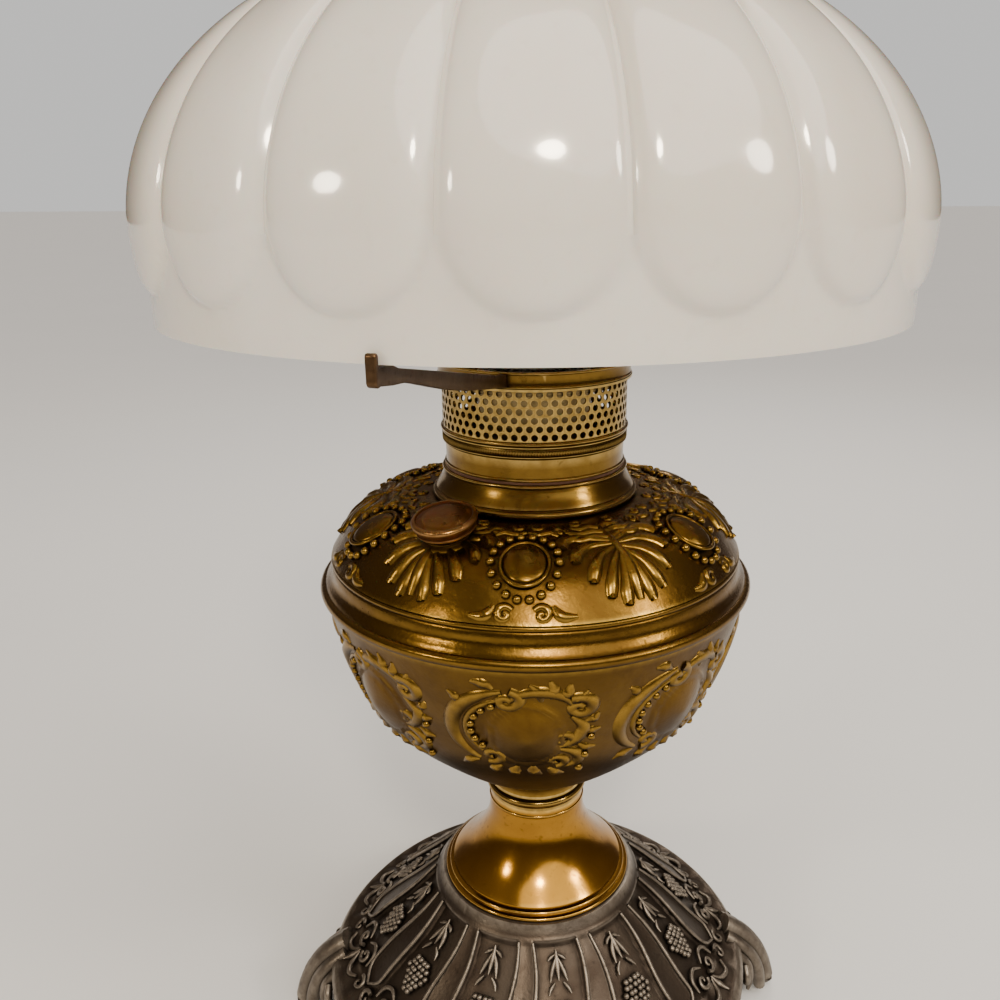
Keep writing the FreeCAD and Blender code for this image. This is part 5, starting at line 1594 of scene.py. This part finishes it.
# ---------------------------------------------------------------- glass
@dataclass
class Shade:
    """Opal shade: plain skirt, lobes with rounded lower ends, and a short crown."""

    lobes: int = 18
    lobe_depth: float = 4.2
    rim_radius: float = 127.0
    wall: float = 3.0
    skirt: float = 11.5
    equator: float = 28.0
    dome_rise: float = 86.0
    full_width_level: float = 42.0
    crown_radius: float = 41.0
    steps_per_lobe: int = 26

    def __post_init__(self) -> None:
        """Lay out the surface that the lobes stand on."""
        self.bottom, self.top, _ = node_span("shade")
        last = math.acos((self.crown_radius + 1.0) / self.rim_radius)
        dome = [(self.rim_radius * math.cos(last * k / 56),
                 self.bottom + self.equator + self.dome_rise * math.sin(last * k / 56))
                for k in range(57)]
        skirt = [(self.rim_radius, self.bottom + z) for z in np.linspace(self.skirt - 1.0, self.equator, 14,
                endpoint=False)]
        self.line = [*skirt, *dome]

    def bulge(self, azimuth: np.ndarray, level: np.ndarray) -> np.ndarray:
        """Share of the lobe's depth at each place."""
        rel = level - self.bottom
        pitch = TURN / self.lobes
        across = np.abs(np.mod(azimuth + pitch / 2, pitch) - pitch / 2) / (pitch / 2)
        below = np.clip((self.full_width_level - rel) / (self.full_width_level - self.skirt), 0.0, 2.0)
        out = np.sqrt(across ** 2 + below ** 2.6)
        body = np.clip(1.0 - out ** 4.0, 0.0, 1.0)
        rise = np.clip((rel - self.equator) / (self.dome_rise), 0.0, 1.0)
        fade = 1.0 - 0.8 * rise ** 3 - 0.2 * rise ** 12
        return np.clip(body * fade, 0.0, 1.0) ** 0.6

    def build(self) -> list[Piece]:
        """Make the shade.

        Returns:
            The piece.
        """
        low = self.bottom
        crown = self.crown_radius
        lead = [(self.rim_radius, low + 0.8), (self.rim_radius, low + 4.0), (self.rim_radius, low + 7.5)]
        throat = self.line[-1]
        crown_line = [(crown + 0.3, throat[1] + 0.9), (crown, throat[1] + 1.8), (crown, self.top - 1.2),
                      (crown - 0.5, self.top - 0.4)]
        piece = Bench.turn("shade_lobed", [*lead, *self.line, *crown_line], self.lobes * self.steps_per_lobe,
                           closed=False)
        Bench.emboss(piece, self.lobe_depth, self.bulge,
                     lambda r, z: (z > low + self.skirt - 0.9) & (z < throat[1] - 0.05))
        Bench.apply(piece, "SOLIDIFY", thickness=self.wall * MM, offset=-1.0)
        Bench.apply(piece, "BEVEL", width=0.7 * MM, segments=3, limit_method="ANGLE", angle_limit=math.radians(60))
        Bench.smooth(piece, 60.0)
        return [Piece(piece, "shade", Finish.OPAL_GLASS, ("shade",))]


@dataclass
class Chimney:
    """Clear glass chimney: straight foot, bulge, long neck and a fire-polished mouth."""

    wall: float = 1.8
    foot_radius: float = 31.7
    bulge_radius: float = 34.0
    mouth_radius: float = 22.5

    def build(self) -> list[Piece]:
        """Make the chimney.

        Returns:
            The piece.
        """
        low, high, _ = node_span("chimney")
        foot, mouth = self.foot_radius, self.mouth_radius
        line = flow([(foot, low + 9.0), (foot + 0.3, low + 16.0), (self.bulge_radius, low + 34.0),
                     (foot - 1.7, low + 58.0),
                     (mouth + 2.5, low + 88.0), (mouth + 0.4, low + 130.0), (mouth, high - 0.9)], 90)
        rim = arc((mouth - 0.9, high - 0.9), 0.9, 0, 180, 7)
        outline = [(foot - self.wall, low + 0.3), (foot - self.wall + 0.4, low), (foot - 0.4, low), (foot, low + 0.4),
                   *line,
                   *rim[1:-1], *inset(line, self.wall)]
        return [Piece(Bench.turn("chimney_blown", outline, 128), "chimney", Finish.CLEAR_GLASS, ("chimney",))]


@dataclass
class Wick:
    """Round cotton wick with a slightly ragged top."""

    def build(self) -> list[Piece]:
        """Make the wick.

        Returns:
            The piece.
        """
        low, high, radius = node_span("wick")
        bore = radius - 2.6
        walls = np.linspace(low, high - 0.6, 30)
        outline = [*((radius, float(z)) for z in walls), (radius - 0.4, high - 0.15), (radius - 1.2, high),
                   (bore + 0.4, high - 0.15),
                   *((bore, float(z)) for z in walls[::-1])]
        piece = Bench.turn("wick_woven", outline, 120, angle=60.0)
        Bench.emboss(piece, 0.12, lambda a, z: 0.5 + 0.5 * np.sin(a * 40) * np.sin(z * 2.1), lambda r,
                     z: r < bore + 1.0)
        return [Piece(piece, "wick_carriage", Finish.WICK_COTTON, ("wick",))]


# ---------------------------------------------------------------- studio
@dataclass
class Studio:
    """Pale floor, soft lights, and a camera in front of the lamp and a little above it."""

    distance: float = 0.3381
    height: float = 0.0379
    pitch: float = 18.05
    roll: float = 0.32
    lens: float = 33.48
    shift: float = -0.0333
    daylight: float = 2.1
    backdrop: float = 0.72

    def light(self, name: str, place: Vector, target: Vector, size: float, power: float, colour: Colour) -> None:
        """Add a round soft light that faces a point."""
        bpy.ops.object.light_add(type="AREA", location=place)
        lamp = bpy.context.active_object
        lamp.name = name
        lamp.data.shape = "DISK"
        lamp.data.size = size
        lamp.data.energy = power
        lamp.data.color = colour
        lamp.rotation_euler = (target - place).to_track_quat("-Z", "Y").to_euler()

    def sun(self) -> None:
        """A very soft even light from above, which keeps the floor the same out to the horizon."""
        bpy.ops.object.light_add(type="SUN", location=(0.0, 0.0, 2.0),
                                 rotation=(math.radians(24), math.radians(18), 0.0))
        lamp = bpy.context.active_object
        lamp.name = "daylight"
        lamp.data.energy = self.daylight
        lamp.data.angle = math.radians(70)
        lamp.data.color = (1.0, 0.97, 0.93)

    def world(self) -> None:
        """A dim warm room in reflections, and a pale ground behind the lamp."""
        world = bpy.data.worlds.new("room")
        bpy.context.scene.world = world
        world.use_nodes = True
        graph = Graph(world.node_tree)
        direction = graph.node("ShaderNodeTexCoord").outputs["Generated"]
        height = graph.node("ShaderNodeSeparateXYZ", Vector=direction).outputs["Z"]
        room = graph.mix(graph.span(height, -0.1, 0.9), (0.05, 0.03, 0.02, 1.0), (0.30, 0.25, 0.20, 1.0))
        path = graph.node("ShaderNodeLightPath")
        seen = graph.maths("MAXIMUM", path.outputs["Is Camera Ray"], path.outputs["Is Transmission Ray"])
        colour = graph.mix(seen, room, (self.backdrop, self.backdrop * 0.99, self.backdrop * 0.97, 1.0))
        shader = graph.node("ShaderNodeBackground", Color=colour, Strength=1.0)
        graph.node("ShaderNodeOutputWorld", Surface=shader.outputs["Background"])

    def floor(self) -> None:
        """A wide pale floor under the lamp."""
        Bench.deselect()
        bpy.ops.mesh.primitive_plane_add(size=60.0)
        ground = bpy.context.active_object
        ground.name = "floor"
        made = bpy.data.materials.new("floor_paper")
        made.use_nodes = True
        graph = Graph(made.node_tree)
        vector = graph.node("ShaderNodeTexCoord").outputs["Object"]
        tone = graph.mix(graph.noise(vector, 3.0), (0.82, 0.82, 0.81, 1.0), (0.85, 0.85, 0.84, 1.0))
        shader = graph.node("ShaderNodeBsdfPrincipled", Base_Color=tone, Roughness=0.9)
        graph.node("ShaderNodeOutputMaterial", Surface=shader.outputs["BSDF"])
        ground.data.materials.append(made)

    def camera(self) -> None:
        """The camera."""
        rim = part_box("shade")[0][2]
        bpy.ops.object.camera_add(location=(0.0, -self.distance, rim + self.height))
        view = bpy.context.active_object
        view.data.lens = self.lens
        view.data.sensor_width = 36.0
        view.data.shift_x = self.shift
        view.data.clip_start = 0.01
        view.rotation_euler = (math.radians(90.0 - self.pitch), math.radians(self.roll), 0.0)
        bpy.context.scene.camera = view

    def build(self) -> None:
        """Set the scene."""
        self.world()
        self.floor()
        middle = Vector((0.0, 0.0, 0.26))
        self.sun()
        self.light("key", Vector((0.10, -1.0, 1.05)), middle, 0.16, 7.0, (1.0, 0.86, 0.66))
        self.light("left", Vector((-0.9, -0.7, 0.75)), middle, 0.16, 3.0, (1.0, 0.88, 0.70))
        self.light("right", Vector((1.0, -0.5, 0.9)), middle, 0.25, 4.0, (1.0, 0.90, 0.75))
        self.light("back", Vector((0.3, 1.0, 1.1)), middle, 0.5, 5.0, (1.0, 0.95, 0.88))
        self.camera()


def main() -> None:
    """Build every sub-assembly, dress the nodes that stay, and set the scene."""
    logging.basicConfig(level=logging.INFO, format="%(name)s: %(message)s")
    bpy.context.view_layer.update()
    palette = Palette(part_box("wick")[1][2])
    replaced: set[str] = set()
    for assembly in (BaseCasting(), Pedestal(), Font(), Filler(), Burner(), ShadeHolder(), Shade(), Chimney(), Wick()):
        for piece in assembly.build():
            piece.register(palette)
            replaced.update(piece.nodes)
    for row in frame["record"]["subparts"]:
        if row["node"] not in replaced:
            palette.dress_node(frame["nodes"][row["node"]], row["material_slot"])
            LOG.info("%s keeps its CAD shape", row["node"])
    Studio().build()
    Bench.deselect()


if __name__ == "__main__":
    main()
